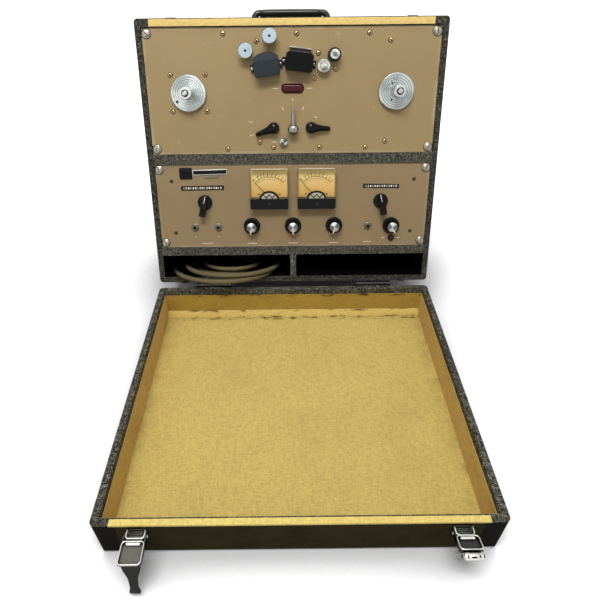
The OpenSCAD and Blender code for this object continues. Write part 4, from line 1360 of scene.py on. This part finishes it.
@dataclass
class LidTray(Assembly):
    """The lid lying flat: covered shell, cloth lining and cloth-covered batten."""

    lining: float = 1.0
    drop: float = 11
    batten_height: float = 13
    batten_depth: float = 12

    def build(self) -> None:
        """Dresses the shell, lays in the lining and adds the rim strip."""
        dress(lid_shell=self.colours.lid_tweed)
        self.lining_cloth()
        self.rim_strip()

    def sheet(self, w: float, h: float, cell: float, ripple: float, seed: float) -> Shape:
        """A cloth panel with a soft unevenness, turned over at its border.

        Args:
            w: Width.
            h: Height.
            cell: Grid size.
            ripple: Depth of the unevenness.
            seed: Offset into the noise.

        Returns:
            The shape, in millimetres, face up.
        """
        bm = bmesh.new()
        nx, ny = max(2, round(w / cell)), max(2, round(h / cell))
        rows = []
        for j in range(ny + 1):
            row = []
            for i in range(nx + 1):
                x, y = w * (i / nx - 0.5), h * (j / ny - 0.5)
                inset = min(w / 2 - abs(x), h / 2 - abs(y))
                puff = min(1.0, inset / (2 * cell))
                z = self.lining - ripple + ripple * puff * (1 + noise.noise(Vector((x / 55, y / 55, seed)))) / 1.2
                row.append(bm.verts.new((x, y, z)))
            rows.append(row)
        skin(bm, rows)
        rim = [e for e in bm.edges if e.is_boundary]
        low = bmesh.ops.extrude_edge_only(bm, edges=rim)["geom"]
        for v in low:
            if isinstance(v, bmesh.types.BMVert):
                v.co.z = 0
        return bm

    def lining_cloth(self) -> None:
        """Floor, walls and batten of the lid's lining, in place of the plain solid."""
        s, c = STANCE, self.colours
        w, h = s.width - 2 * s.wall, s.height - 2 * s.wall
        deep = s.lid_depth - s.wall - self.drop
        piece = Piece("lid_lining_cloth")
        piece.add(self.sheet(w, h, 9, 0.5, 1), c.lid_cloth, shift(0, 0, s.wall))
        mid = s.wall + deep / 2
        for turn, length, away in ((0, w, h / 2), (90, h, w / 2), (180, w, h / 2), (270, h, w / 2)):
            stand = spin(turn, "Z") @ shift(0, away, mid) @ spin(90, "X")
            piece.add(self.sheet(length, deep, 8, 0.4, 3 + turn), c.side_cloth if turn % 180 else c.wall_cloth, stand)
        corner = shift(0, h / 2 - self.lining, s.wall + self.lining)
        piece.add(self.batten(w - 2 * self.lining), c.batten_cloth, corner)
        piece.place(Matrix.Identity(4), "lid", "lining", ["lid_lining"], 50)

    def batten(self, length: float) -> Shape:
        """Cloth-covered corner strip along the rear of the lid, uneven along its length."""
        section = [
            (0, 0), (0, 0.94), (-0.12, 1.0), (-0.3, 0.95), (-0.6, 0.66), (-0.85, 0.36), (-0.98, 0.14), (-1.0, 0.0)]
        steps = 60
        rings = []
        for k in range(steps + 1):
            x = length * (k / steps - 0.5)
            swell = 0.94 + 0.06 * noise.noise(Vector((x / 40, 0.3, 7)))
            deep, high = self.batten_depth * swell, self.batten_height * swell
            rings.append([(x, deep * y, high * z) for y, z in section])
        return loft(rings)

    def rim_strip(self) -> None:
        """Pale cloth along the lid's front rim, frayed a little at its edge."""
        s = STANCE
        n = 120
        back, front = [], []
        for k in range(n + 1):
            x = (s.width - s.rim_short) * (k / n - 0.5)
            back.append((x, s.wall / 2 - 1.8 + 0.3 * noise.noise(Vector((x / 6, 2, 0)))))
            front.append((x, -0.4 - s.wall / 2))
        strip = Piece("lid_rim_strip").add(slab(front + back[::-1], -0.2, 0.2, 0.1), self.colours.rim_cloth)
        hem = [(x, 0.0) for x, _ in front]
        hem += [(x, -2.6 + 0.5 * noise.noise(Vector((x / 5, 5, 0)))) for x, _ in front[::-1]]
        over = shift(0, -s.wall / 2) @ spin(90, "X")
        strip.add(slab(hem, -0.1, 0.4), self.colours.rim_cloth, over)
        strip.place(metres(0, s.wall / 2 - s.height / 2, s.lid_depth), "lid", "lining")


@dataclass
class Latches(Assembly):
    """The two toggle latches: wire-looped base, dished link and finger lever."""

    x: float = 195
    out: float = 7
    low: float = 12
    width: float = 27
    reach: float = 31
    rim: float = 6.2
    loop: float = 4.4
    left_up: float = 0
    left_fold: float = 73
    right_up: float = 15
    right_fold: float = 130

    def build(self) -> None:
        """Makes the bases, links and fingers in place of the plain solids."""
        c = self.colours
        self.bases()
        # left dish in lit steel, right dish in painted shade; left finger painted near-black as shade, right finger as
        # painted highlight
        self.link("left", -1, self.left_up, 34.5, c.latch_lit_steel)
        self.link("right", 1, self.right_up, 27, c.latch_shade)
        self.finger("left", self.pivot(-1, self.left_up, self.left_fold), c.black_and_shade, False)
        self.finger("right", self.pivot(1, self.right_up, self.right_fold), c.latch_highlight_steel, True)

    def home(self, x: float = 0) -> Matrix:
        """Place on the line of the links' pivots, in metres."""
        return metres(x, -STANCE.height / 2 - self.out, STANCE.lid_depth - self.low)

    def pivot(self, side: int, up: float, fold: Optional[float] = None) -> Matrix:
        """Placing matrix of a link, or of its finger.

        Args:
            side: -1 for the left latch, 1 for the right.
            up: Rise of the link, in degrees.
            fold: Angle of the finger below the link, in degrees.

        Returns:
            The matrix, in metres.
        """
        at = self.home(side * self.x) @ spin(-up, "X")
        if fold is None:
            return at
        return at @ metres(0, -self.reach, 0) @ spin(fold, "X")

    def bases(self) -> None:
        """Plates on the lid's wall, each with a ribbed tongue inside a wire loop."""
        c = self.colours
        piece = Piece("latch_base_plates")
        for side in (-1, 1):
            at = shift(side * self.x, 0)
            stand = at @ shift(0, self.out, -4) @ spin(90, "X")
            piece.add(round_block(24, 16, 2, 0, 1.5, 0.4), c.latch_lit_steel, stand)
            # painted shade: the tongue takes the shaded copy of the latch steel
            piece.add(block(18, 9.5, 0, 1.4, 0.3), c.latch_shade, at @ shift(0, 2, 0.6))
            for k in range(3):
                piece.add(block(17, 1.2, 0, 0.9, 0.3), c.latch_lit_steel, at @ shift(0, 4 - 2.6 * k, 1.9))
            half, tip, bend = 10.8, -self.loop, 3.5
            line = [Vector((-half, self.out - 1, 4))]
            for x, start in ((-1, 180), (1, 270)):
                for k in range(7):
                    dx, dy = polar(bend, start + 15 * k)
                    line.append(Vector((x * (half - bend) + dx, tip + bend + dy, 4)))
            line.append(Vector((half, self.out - 1, 4)))
            # painted highlight: the wire loop and the pivot take the bright copy of the latch steel
            piece.add(wire(line, 1.2, Vector((0, 0, 1))), c.latch_highlight_steel, at)
            pivot = barrel([(0, -14.2), (1.5, -14.2), (2.0, -13.7)], 20)
            piece.add(pivot, c.latch_highlight_steel, at @ spin(90, "Y"))
        piece.place(self.home(), "lid", "bright_steel", ["latch_bases"])

    def link(self, name: str, side: int, up: float, end: float, floor: Material) -> None:
        """Dished link with a rim and the hook's roll at its upper end, both brightened as painted highlight.

        Args:
            name: left or right.
            side: -1 or 1.
            up: Rise of the link, in degrees.
            end: Distance of the dish's far end from the pivot.
            floor: Finish of the dish: the lit copy of the latch steel on the left, the painted-shade copy on the right.
        """
        c, start = self.colours, 7.8
        piece = Piece(f"latch_dish_{name}")
        middle = shift(0, -(start + end) / 2)
        size, wall = (self.width, end - start), 1.1
        piece.add(pan(*size, 4.5, 1.9, self.rim - 0.5, wall), floor, middle)
        rim = [Vector((x, y, self.rim - 0.5)) for x, y in rounded(size[0] - wall, size[1] - wall, 4)]
        piece.add(wire(rim, 0.75, Vector((0, 0, 1)), True), c.latch_highlight_steel, middle)
        for x in (-1, 1):
            stand, out = spin(90, "Y") @ spin(90, "Z"), x * (self.width - wall) / 2
            cheek, foot = rounded(18, 7, 3.2), rounded(end - 5, 5, 2.4)
            piece.add(slab(cheek, -0.5, 0.5), floor, shift(out, -5.6, 1.4) @ stand)
            piece.add(slab(foot, -0.5, 0.5), floor, shift(out, -1 - end / 2, 0.4) @ stand)
        roll = barrel([(0, -8.5), (1.6, -8.5), (2.3, -7.6)], 24)
        piece.add(roll, c.latch_highlight_steel, shift(0, -start - 3, 4) @ spin(90, "Y"))
        pin = barrel([(0, -13.3), (1.2, -13.3), (1.6, -12.9)], 20)
        piece.add(pin, floor, shift(0, -self.reach) @ spin(90, "Y"))
        piece.place(self.pivot(side, up), f"link_{name}", "bright_steel", [f"latch_link_{name}"])

    def finger(self, name: str, at: Matrix, finish: Material, curled: bool) -> None:
        """Waisted finger lever; the folded one shows its curled, pierced knuckle.

        Args:
            name: left or right.
            at: Placing matrix, in metres.
            finish: Its finish: the painted-highlight latch steel on the right, near-black painted shade on the left.
            curled: Adds the curled knuckle.
        """
        c = self.colours
        stations = [(0, 11.4), (6, 11.2), (29, 5.4), (38, 4.9), (50, 7)]
        side = []
        for (y0, w0), (y1, w1) in zip(stations, stations[1:]):
            for k in range(6):
                t = k / 6
                side.append((w0 + (w1 - w0) * t * t * (3 - 2 * t), -y0 - (y1 - y0) * t))
        side.append((stations[-1][1] - 1.2, -stations[-1][0]))
        piece = Piece(f"latch_lever_{name}")
        piece.add(slab(side + [(-x, y) for x, y in side[::-1]], -3, -1.2, 0.4), finish)
        piece.add(barrel([(0, -11.6), (1.8, -11.6)], 24), finish, spin(90, "Y"))
        if curled:
            knuckle = barrel([(0, -10.6), (2.6, -10.6), (3.7, -10.0), (4.3, -8.6)], 32)
            piece.add(knuckle, finish, spin(90, "Y"))
            # painted shade: dark patches stand for the knuckle's piercings
            face = spin(self.right_up - self.right_fold + 24, "X")
            piece.add(round_block(6, 1.8, 0.8, 4.0, 4.4, 0.1), c.black_and_shade, face @ shift(0, -1))
            for x in (-6.6, 6.6):
                piece.add(round_block(1.8, 2.6, 0.8, 3.9, 4.4, 0.1), c.black_and_shade, face @ shift(x, 0))
        piece.place(at, f"finger_{name}", "bright_steel", [f"latch_finger_{name}"])


@dataclass
class TransportDeck(Assembly):
    """The upper panel with reels, tape path and transport controls."""

    small_screws: Sequence[Point] = (
        (-111, 89), (7.4, 88.3), (125, 88.6), (-57.3, 77.6), (159.4, 77.6), (42.9, 59.4), (71.4, 35.4),
        (36.6, 22), (-111.6, -90.4), (-32.3, -88.4), (46.7, -88.7), (125.5, -89.4), (159, -79.7), (-56, -79.4))
    reel_x: float = 172
    guide_lower: Point = (-74.7, 62.6)
    guide_upper: Point = (-36, 83.5)
    pinch_at: Point = (68.3, 56.3)
    capstan_at: Point = (51.1, 39.8)
    button_at: Point = (-15.3, -79.4)
    table_screws: float = 28.75
    table_top: float = 8.0
    corner_x: float = 234
    corner_half: Point = (90.0, 66.0)
    amp_screw_x: float = 214
    amp_screw_z: Point = (46.3, -47.7)
    lever_at: Point = (1, -58.4)
    knob_at: Point = (31.7, -56.4)
    lens_at: Point = (0.6, 6.3)
    pilot_at: Point = (179.8, -60.3)
    covers: Sequence[tuple[float, float, float, float]] = ((-42.3, 43, 9, 42), (11.6, 48, -7, 44))

    def build(self) -> None:
        """Dresses the panel's nodes and adds its small parts."""
        c, s = self.colours, STANCE
        dress(
            transport_panel=c.transport_paint, guide_posts=c.dull_steel, head_cover_left=c.crackle,
            head_cover_right=c.gloss_black, tape_heads=c.steel, reel_motors=c.alloy, capstan_motor=c.alloy,
            flywheel=c.dull_steel, pinch_tyre=c.rubber, indicator_lenses=c.lens, lamp_holders=c.brass,
            transport_lever=c.lever_steel, control_bodies=c.alloy)
        # reel tables, rollers, capstan and pinch hub get painted reflection rays and painted shade
        for node, x in (("supply_table", -self.reel_x), ("takeup_table", self.reel_x)):
            star = 0.6 if x < 0 else 0.2
            dress(**{node: c.turned(
                f"{node}_turned", s.transport((x, 0)), pitch=0.0016, rings=0.08, star=star, shade=0.55, groove=0.5)})
        for node, at in (
            ("guide_roller_lower", self.guide_lower), ("guide_roller_upper", self.guide_upper),
            ("pinch_hub", self.pinch_at), ("capstan", self.capstan_at),
        ):
            dress(**{node: c.turned(
                f"{node}_turned", s.transport(at), (0.62, 0.62, 0.57, 1),
                pitch=0.0008, rough=0.3, star=1.0, shade=0.35)})
        self.screws()
        self.lenses()
        self.markings()
        self.pointer_knobs()
        self.record_cap()
        self.reel_pins()

    def lenses(self) -> None:
        """Domed record lens in its bezel, and the pilot jewel of the lower panel."""
        c, s = self.colours, STANCE
        piece = Piece("red_lenses")
        piece.add(pillow(36, 14, 6, 0, 5, 4.4), c.lens)
        piece.add(round_block(37.4, 15.4, 6.2, 0, 0.7, 0.3), c.dark_steel_and_shade)
        place = s.transport(self.lens_at)
        local = within(place, s.amp(self.pilot_at))
        dome = [(4.8 * math.cos(math.radians(a)), 1.3 + 4.4 * math.sin(math.radians(a))) for a in range(0, 91, 10)]
        piece.add(lathe([(0, 1)] + dome), c.jewel, local)
        piece.add(lathe([(3.4, 0), (6, 0), (5.8, 1.1), (5, 1.5), (3.4, 1.5)]), c.dark_steel_and_shade, local)
        piece.place(place, "case", "red_lens", ["indicator_lenses"], 60)

    def screws(self) -> None:
        """Slotted screws of both panels, in place of the plain heads."""
        c, s = self.colours, STANCE
        small = Piece("panel_screw_heads")
        home = s.transport((0, 0))
        spots = [(s.transport(at, 0, 37 * k), c.brass, 3.4, 2.2) for k, at in enumerate(self.small_screws)]
        for x in (-1, 1):
            for y in (-1, 1):
                at = (x * self.table_screws - self.reel_x, y * self.table_screws)
                spots.append((s.transport(at, 0, 50 * x + 20 * y), c.brass, 3.4, 2.2))
        for x in (-self.amp_screw_x, self.amp_screw_x):
            for y in self.amp_screw_z:
                spots.append((s.amp((x, y), 0, x + y), c.old_brass, 2.4, 1.2))
        for at, finish, r, h in spots:
            local = within(home, at)
            # painted shadow: a dark ring round each head
            small.add(lathe([(0, 0), (r + 0.9, 0), (r + 0.7, 0.3), (0, 0.3)], 28), c.black_and_shade, local)
            small.add(slotted_head(r, h, 0.5), finish, local)
            # painted shade: a dark disc stands for the head's recess
            socket = lathe([(0, 0.5 * h), (0.42 * r, 0.5 * h), (0.42 * r, 1.02 * h), (0, 1.02 * h)], 16)
            small.add(socket, c.black_and_shade, local)
        small.place(home, "case", "aged_brass", ["panel_screws"])
        large = Piece("corner_screw_heads")
        washer = [(2.5, 0), (7.5, 0), (7.3, 0.9), (6.2, 1.5), (5.0, 1.1), (2.5, 1.1)]
        for place, half in zip((s.transport, s.amp), self.corner_half):
            for x in (-self.corner_x, self.corner_x):
                for y in (-half, half):
                    local = within(home, place((x, y), 0, 0.7 * x + 1.3 * y))
                    # painted shadow: a dark disc round each washer
                    large.add(lathe([(0, 0), (8.3, 0), (8.1, 0.3), (0, 0.3)], 32), c.black_and_shade, local)
                    large.add(lathe(washer, 40), c.screw_steel, local)
                    large.add(slotted_head(5.4, 2.2, 0.3), c.screw_steel, local @ shift(0, 0, 0.9))
        large.place(home, "case", "bright_steel", ["corner_screws"])
        ears = Piece("cover_ear_screws")
        for cx, cy, turn, w in self.covers:
            for side in (-1, 1):
                local = shift(cx, cy, 0, turn) @ shift(side * (w / 2 + 2.5), -3, 3, 40 * side)
                ears.add(slotted_head(2.6, 1.6), c.steel, local)
        ears.place(home, "case", "bright_steel")

    def markings(self) -> None:
        """Plain white position ticks round the controls."""
        c = self.colours
        piece = Piece("transport_ticks")
        (lx, ly), (kx, ky) = self.lever_at, self.knob_at
        ticks = [(lx, ly + 47, 5, 0.8, 90)]
        for x, y, r, w, turns in ((lx, ly, 37.5, 6, (117, 63)), (-kx, ky, 40, 7, (165.6, 197))):
            for a in turns:
                dx, dy = polar(r, a)
                ticks.append((x + dx, y + dy, w, 0.8, a))
        ticks.append((kx + 8, ky + 17, 5, 1.0, -15))
        ticks += [(-28, 6.3, 9, 0.8, 0), (29, 6.3, 9, 0.8, 0), (-31, -79.4, 8, 0.8, 0)]
        for x, y, w, h, turn in ticks:
            piece.add(block(w, h, 0, 0.12), c.white_ink, shift(x, y, 0, turn))
        piece.place(STANCE.transport((0, 0)), "case", "transport_paint")

    def pointer_knobs(self) -> None:
        """Two moulded pointer knobs: a flat tear-shaped flange under a domed back."""
        kx, ky = self.knob_at
        for name, x, turn in (("mode", -kx, 200), ("edit", kx, -3)):
            piece = Piece(f"{name}_pointer_knob")
            piece.add(slab(pointer_line(9.6, 3.4, 33), 0.4, 5, 0.8), self.colours.gloss_black)
            rings = []
            for share, rise in (
                (1, 0), (0.97, 0.45), (0.92, 0.68), (0.85, 0.78), (0.7, 0.84), (0.45, 0.93), (0.25, 0.985), (0.1, 1.0),
            ):
                line = pointer_line(8.4 * share, 2.5 * share, 31)
                rings.append([(px, py, 4.8 + (10.4 - 0.2 * max(px, 0)) * rise) for px, py in line])
            piece.add(loft(rings), self.colours.gloss_black)
            piece.place(STANCE.transport((x, ky), 0, turn), name, "black_gloss", [f"{name}_knob"], 40)

    def record_cap(self) -> None:
        """Slotted metal cap of the record button on its stem."""
        c, low = self.colours, 3.4
        piece = Piece("record_button_cap")
        piece.add(lathe([(0, -11), (3.5, -11), (3.5, low), (0, low)], 24), c.nickel)
        place = STANCE.transport(self.button_at)
        # the cap gets painted reflection rays
        finish = c.turned("record_cap_turned", place, (0.42, 0.44, 0.43, 1), pitch=0.0007, star=2.4)
        cap = [(0, low), (6.9, low), (6.9, low + 3), (6.5, low + 3.8), (5.7, low + 4.2), (0, low + 4.3)]
        piece.add(lathe(cap), finish)
        # painted shade: a dark bar stands for the slot
        piece.add(block(8.4, 1.5, low + 4, low + 4.5), c.black_and_shade, shift(0, 0, 0, 25))
        piece.place(place, "button", "chrome", ["record_button"])

    def reel_pins(self) -> None:
        """Pins and collars of the reel tables, caps of the rollers and the pinch washer."""
        c = self.colours
        pin = lathe([(0, 0), (2, 0), (2, 0.5), (1.6, 0.8), (0, 0.8)], 24)
        left = Piece("supply_table_pin").add(pin, c.matt_black, shift(-19, -13, self.table_top))
        left.place(STANCE.transport((-self.reel_x, 0)), "supply_reel", "turned_aluminium")
        for name, x in (("supply", -self.reel_x), ("takeup", self.reel_x)):
            ring = lathe([(3.8, 35.9), (9, 35.9), (9.1, 36.1), (8.7, 36.5), (3.8, 36.6)])
            collar = Piece(f"{name}_hub_collar").add(ring, c.collar)
            collar.add(lathe([(3.8, 36.3), (5.9, 36.3), (5.9, 36.75), (3.8, 36.8)]), c.dark_steel_and_shade)
            collar.place(STANCE.transport((x, 0)), f"{name}_reel", "turned_aluminium")
        right = Piece("takeup_table_pins")
        for k in range(3):
            wedge = slab([(-1.7, -1.5), (1.7, -1.5), (0, 2.2)], 0, 0.9, 0.2)
            right.add(wedge, c.matt_black, spin(120 * k + 30, "Z") @ shift(0, 15.4, self.table_top))
        right.place(STANCE.transport((self.reel_x, 0)), "takeup_reel", "turned_aluminium")
        for name, at, body in (
            ("lower_roller_cap", self.guide_lower, "guide_lower"),
            ("upper_roller_cap", self.guide_upper, "guide_upper"),
        ):
            place = STANCE.transport(at)
            face = c.turned(
                f"{name}_face", place, (0.30, 0.36, 0.39, 1.0), pitch=0.0006, rough=0.5, depth=0.1, rings=0.03)
            cap = Piece(name).add(lathe([(3.2, 18), (11.3, 18), (11.3, 18.7), (10.7, 19.2), (0, 19.3)]), face)
            cap.add(slotted_head(1.9, 0.9, 0.3), c.dark_steel_and_shade, shift(0, 0, 19.2, 30))
            cap.place(place, body, "turned_aluminium")
        place = STANCE.transport(self.pinch_at)
        # the washer gets painted reflection rays
        face = c.turned("pinch_washer_face", place, (0.6, 0.62, 0.6, 1), pitch=0.0006, rings=0.05, star=0.4, shade=0.45)
        washer = Piece("pinch_washer").add(lathe([(0, 18.4), (7.6, 18.4), (7.6, 19.4), (7.0, 19.9), (0, 20)]), face)
        washer.add(lathe([(0, 19.5), (3.4, 19.5), (3.3, 20.6), (0, 20.8)], 24), c.nickel)
        washer.place(place, "pinch", "turned_aluminium")


@dataclass
class AmplifierDeck(Assembly):
    """The lower panel with selectors, knobs, jacks, plates and tapes."""

    selector: Point = (157.2, 8.2)
    selector_turn: float = 12
    level_z: float = -35.5
    level_pitch: float = 74.5
    monitor: Point = (178.2, -37)
    jacks: Sequence[Point] = ((-178, -37.5), (-136, -37.5), (136.3, -37.5))

    def build(self) -> None:
        """Dresses the panel's nodes and adds its small parts."""
        c = self.colours
        dress(
            amp_panel=c.amp_paint, level_knob_left=c.gloss_black, level_knob_middle=c.gloss_black,
            level_knob_right=c.gloss_black, monitor_knob=c.gloss_black, amp_chassis=c.alloy, valves=c.valve_glass,
            transformers=c.alloy)
        self.knob_tops()
        self.selectors()
        self.sockets()
        self.plates()
        self.ticks()

    def knob_tops(self) -> None:
        """Brushed caps and white pointer lines on the four round knobs."""
        c = self.colours
        for name, at, body, turn in (
            ("left", (-self.level_pitch, self.level_z), "level_left", 168),
            ("middle", (0, self.level_z), "level_middle", 180),
            ("right", (self.level_pitch, self.level_z), "level_right", 168),
            ("monitor", self.monitor, "monitor", 205),
        ):
            place = STANCE.amp(at)
            # the caps get painted reflection rays round their middles
            finish = c.turned(
                f"knob_cap_{name}", place, (0.58, 0.6, 0.6, 1),
                pitch=0.0005, rough=0.3, depth=0.2, rings=0.05, star=turn / 40)
            piece = Piece(f"knob_cap_{name}")
            piece.add(lathe([(0, 15.9), (8.6, 15.9), (8.6, 16.6), (8.1, 16.95), (0, 17.05)]), finish)
            line = slab([(-1.2, 5.5), (1.2, 5.5), (0.5, 12.4), (-0.5, 12.4)], 16.9, 17.3)
            piece.add(line, c.white_ink, shift(0, 0, 0, turn))
            piece.add(lathe([(13, 0.5), (15.1, 0.5), (15.2, 1.2), (14.9, 4.2), (14.3, 5), (13, 5.2)]), c.gloss_black)
            piece.place(place, body, "turned_aluminium")

    def selectors(self) -> None:
        """Bar knobs: a round skirt under a tapered bar with a white line at its narrow end."""
        c, (x, z) = self.colours, self.selector
        for name, side, body in (("left", -1, "input_selector"), ("right", 1, "output_selector")):
            piece = Piece(f"selector_knob_{name}")
            skirt = [(0, -6), (3, -6), (3, 0.4), (13, 0.4), (13, 2.4), (12.4, 3.8), (11, 4.4), (0, 4.6)]
            piece.add(lathe(skirt), c.gloss_black)
            half = [(5.6, -23), (5.3, -9), (4.6, 2), (3.4, 14)]
            bar = slab(half + [(-w, y) for w, y in half[::-1]], 4, 18, 1.3)
            line = slab([(-0.45, 1.5), (0.45, 1.5), (0.45, 13), (-0.45, 13)], 17.9, 18.25)
            for shape, finish in ((bar, c.gloss_black), (line, c.white_ink)):
                for v in shape.verts:
                    if v.co.z > 10:
                        v.co.z -= 0.35 * max(0.0, v.co.y - 2)
                piece.add(shape, finish)
            place = STANCE.amp((side * x, z), 0, self.selector_turn * side)
            piece.place(place, body, "black_gloss", [f"selector_{name}"])

    def sockets(self) -> None:
        """Round-nutted jack sockets."""
        c = self.colours
        piece = Piece("jack_sockets")
        for at in self.jacks:
            spot = shift(*at)
            nut = [
                (0, -27), (8, -27), (8, -3), (4.9, -3), (4.9, 0), (7.3, 0), (7.2, 1.2), (6.4, 1.7), (5.4, 1.8),
                (5.2, 3.4), (4.7, 4.2), (0, 4.2)]
            piece.add(lathe(nut, 32), c.nickel, spot)
            # painted shade: a dark disc stands for the socket's bore
            piece.add(lathe([(0, 3), (3.3, 3), (3.3, 4.3), (0, 4.3)], 24), c.black_and_shade, spot)
        piece.place(STANCE.amp((0, 0)), "case", "bright_steel", ["jacks"])

    def plates(self) -> None:
        """Bare badge plate, and two label tapes with plain bars."""
        c = self.colours
        badge = Piece("badge_plate")
        badge.add(round_block(22, 20, 1.5, 0, 1.2, 0.3), c.gloss_black, shift(-31, 0))
        badge.add(round_block(61, 9.5, 1.2, 0, 1.4, 0.4), c.steel, shift(11.5, 2.2, 0, 1.5))
        badge.add(round_block(58, 6.4, 0.6, 1.4, 1.6, 0.1), c.gloss_black, shift(11.5, 2.2, 0, 1.5))
        badge.add(round_block(26, 4.5, 0.8, 0, 0.9, 0.3), c.nickel, shift(14, -6.2, 0, 1.5))
        badge.place(STANCE.amp((-156.7, 59.5)), "case", "bright_steel")
        tape = Piece("label_tapes")
        for middle, y, wide, high, lean, count in ((-160, 33.9, 76, 8.2, 0.6, 17), (156.6, 34.5, 64, 7.6, -1.2, 14)):
            tape.add(round_block(wide, high, 0.3, 0, 0.35, 0.12), c.tape, shift(middle, y, 0, lean))
            for k in range(count):
                bar = block(1.0 + 0.7 * (k % 3), 3.4, 0.3, 0.5)
                tape.add(bar, c.white_ink, shift(middle + 4.1 * (k - (count - 1) / 2), y))
        tape.place(STANCE.amp((0, 0)), "case", "black_matte")

    def ticks(self) -> None:
        """Plain white dashes under the sockets and knobs."""
        piece = Piece("amplifier_ticks")
        dashes = [
            (-157, -67.5, 20), (136.3, -67.5, 15), (165, -60.3, 5), (193, -60.3, 5), (-178, -55, 2), (-136, -55, 3)]
        dashes += [(k * self.level_pitch, self.level_z - 33, 17) for k in (-1, 0, 1)]
        for x, y, w in dashes:
            piece.add(block(w, 0.9, 0, 0.12), self.colours.white_ink, shift(x, y))
        piece.place(STANCE.amp((0, 0)), "case", "amp_paint")


@dataclass
class LevelMeters(Assembly):
    """The two level meters with printed cards."""

    x: float = 41.6
    z: float = 32.5
    width: float = 67
    height: float = 69
    band: float = 18.5
    depth: float = 17
    tray: float = 4
    card: float = 0.8
    minor_r: float = 31
    major_r: float = 35.8
    number_r: float = 39.6
    zero: float = 18
    numbers: Sequence[tuple[float, str]] = (
        (-44, "20"), (-31, "10"), (-22, "7"), (-14, "5"), (-4, "3"),
        (8, "1"), (18, "0"), (28, "1"), (37, "2"), (45, "3"))

    @property
    def sill(self) -> float:
        """Top of the black band above the meter's middle."""
        return self.band - self.height / 2

    @property
    def pivot(self) -> float:
        """Needle pivot above the meter's middle."""
        return self.sill + 2.5

    def mark(self, r: float, a: float, out: float) -> Matrix:
        """Place on the card at a radius and an angle of the needle, in millimetres."""
        x, y = polar(r, 90 - a)
        return shift(x, self.pivot + y, out, -a)

    def ink(self, a: float) -> Material:
        """Red for the scale past zero, black before it."""
        return self.colours.red_ink if a > self.zero else self.colours.black_ink

    def build(self) -> None:
        """Dresses the meters and prints their cards."""
        c = self.colours
        low = (STANCE.amp_mid + self.z + self.sill) * MM
        dress(
            meter_cases=MeterCase("meter_moulding", low + 0.2 * MM).make(), meter_windows=c.window,
            meter_needle_left=c.black_ink, meter_needle_right=c.black_ink,
            meter_dials=DialCard("dial_card", low, low + 0.045).make())
        for x, name in ((-self.x, "left"), (self.x, "right")):
            for add in (self.print_card, self.movement, self.top_edge, self.zero_screw):
                add(x, name)

    def print_card(self, x: float, name: str) -> None:
        """Scale arc, ticks and plain numbers of one card."""
        c, top = self.colours, self.tray + self.card
        piece = Piece(f"meter_scale_{name}")
        for r, wide, start, end, ink in (
            (34, 0.8, -47, self.zero, c.black_ink), (34.2, 1.2, self.zero, 47, c.red_ink),
            (30, 0.3, -47, 47, c.black_ink),
        ):
            piece.add(arc_strip(r, wide, start, end, 0.0, 0.08), ink, shift(0, self.pivot, top))
        for a, _ in self.numbers:
            piece.add(block(0.9, 3.6, 0, 0.08), self.ink(a), self.mark(self.major_r, a, top))
        for dx in (-18.5, 18.5):
            dot = lathe([(0, 0), (1.5, 0), (1.4, 0.25), (0, 0.3)], 16)
            piece.add(dot, c.black_ink, shift(dx, self.sill + 6, top))
        for k in range(11):
            piece.add(block(0.5, 1.8, 0, 0.08), c.black_ink, self.mark(self.minor_r, 6.4 * k - 46, top))
        piece.place(STANCE.amp((x, self.z)), "case", "dial_card")
        for k, (a, text) in enumerate(self.numbers):
            word = bpy.data.curves.new(f"meter_number_{name}_{k}", "FONT")
            word.body, word.size, word.offset = text, 4.4 * MM, 0.00012
            word.align_x, word.align_y = "CENTER", "CENTER"
            word.materials.append(self.ink(a))
            thing = show(word.name, word)
            spot = self.mark(self.number_r, a, top + 0.1)
            spot.translation = spot.translation * MM
            thing.matrix_world = STANCE.amp((x, self.z)) @ spot
            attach(thing, "case")

    def top_edge(self, x: float, name: str) -> None:
        """Pale upper wall of the clear cover: the light that it catches is a painted highlight in its pale colour."""
        lie = shift(0, self.height / 2, (self.depth + self.tray) / 2) @ spin(-90, "X")
        wall = round_block(self.width - 5, self.depth - self.tray - 1, 1, -0.1, 0.3, 0.1)
        edge = Piece(f"meter_top_edge_{name}").add(wall, self.colours.lit_cover_edge, lie)
        edge.place(STANCE.amp((x, self.z)), "case", "clear")

    def movement(self, x: float, name: str) -> None:
        """Bright movement frame seen through the window over the pivot."""
        c = self.colours
        piece = Piece(f"meter_movement_{name}")
        turns = [math.radians(a) for a in range(0, 181, 9)]
        rim, core = ([(w * math.cos(t), h * math.sin(t)) for t in turns] for w, h in ((17.5, 13.5), (13.5, 10)))
        piece.add(slab(rim, 0, 1.0, 0.2), c.black_and_shade)
        piece.add(slab(core, 0.9, 1.3, 0.2), c.silver_ink)
        for dx, turn in ((-7.5, 52), (-2.6, -38), (2.8, 42), (8, -50)):
            piece.add(block(1.8, 9, 1.2, 1.9, 0.2), c.black_and_shade, shift(dx, 4.2, 0, turn))
        piece.place(STANCE.amp((x, self.z + self.sill - 0.3), 12.4), "case", "bright_steel")

    def zero_screw(self, x: float, name: str) -> None:
        """Zero-setting screw in the black band."""
        at = STANCE.amp((x, self.z - self.height / 2 + 8.5), self.depth)
        screw = Piece(f"meter_zero_screw_{name}").add(slotted_head(2.6, 0.9, 0.3), self.colours.matt_black)
        screw.place(at, "case", "black_gloss")


def main() -> None:
    """Builds the studio, then every sub-assembly."""
    logging.basicConfig(level=logging.INFO, format="%(name)s: %(message)s")
    Studio().build()
    colours = Palette()
    for kind in (MainsLead, CarryingCase, LidTray, Latches, TransportDeck, AmplifierDeck, LevelMeters):
        LOG.info("building %s", kind.__name__)
        kind(colours).build()
    bpy.context.view_layer.update()


if __name__ == "__main__":
    main()
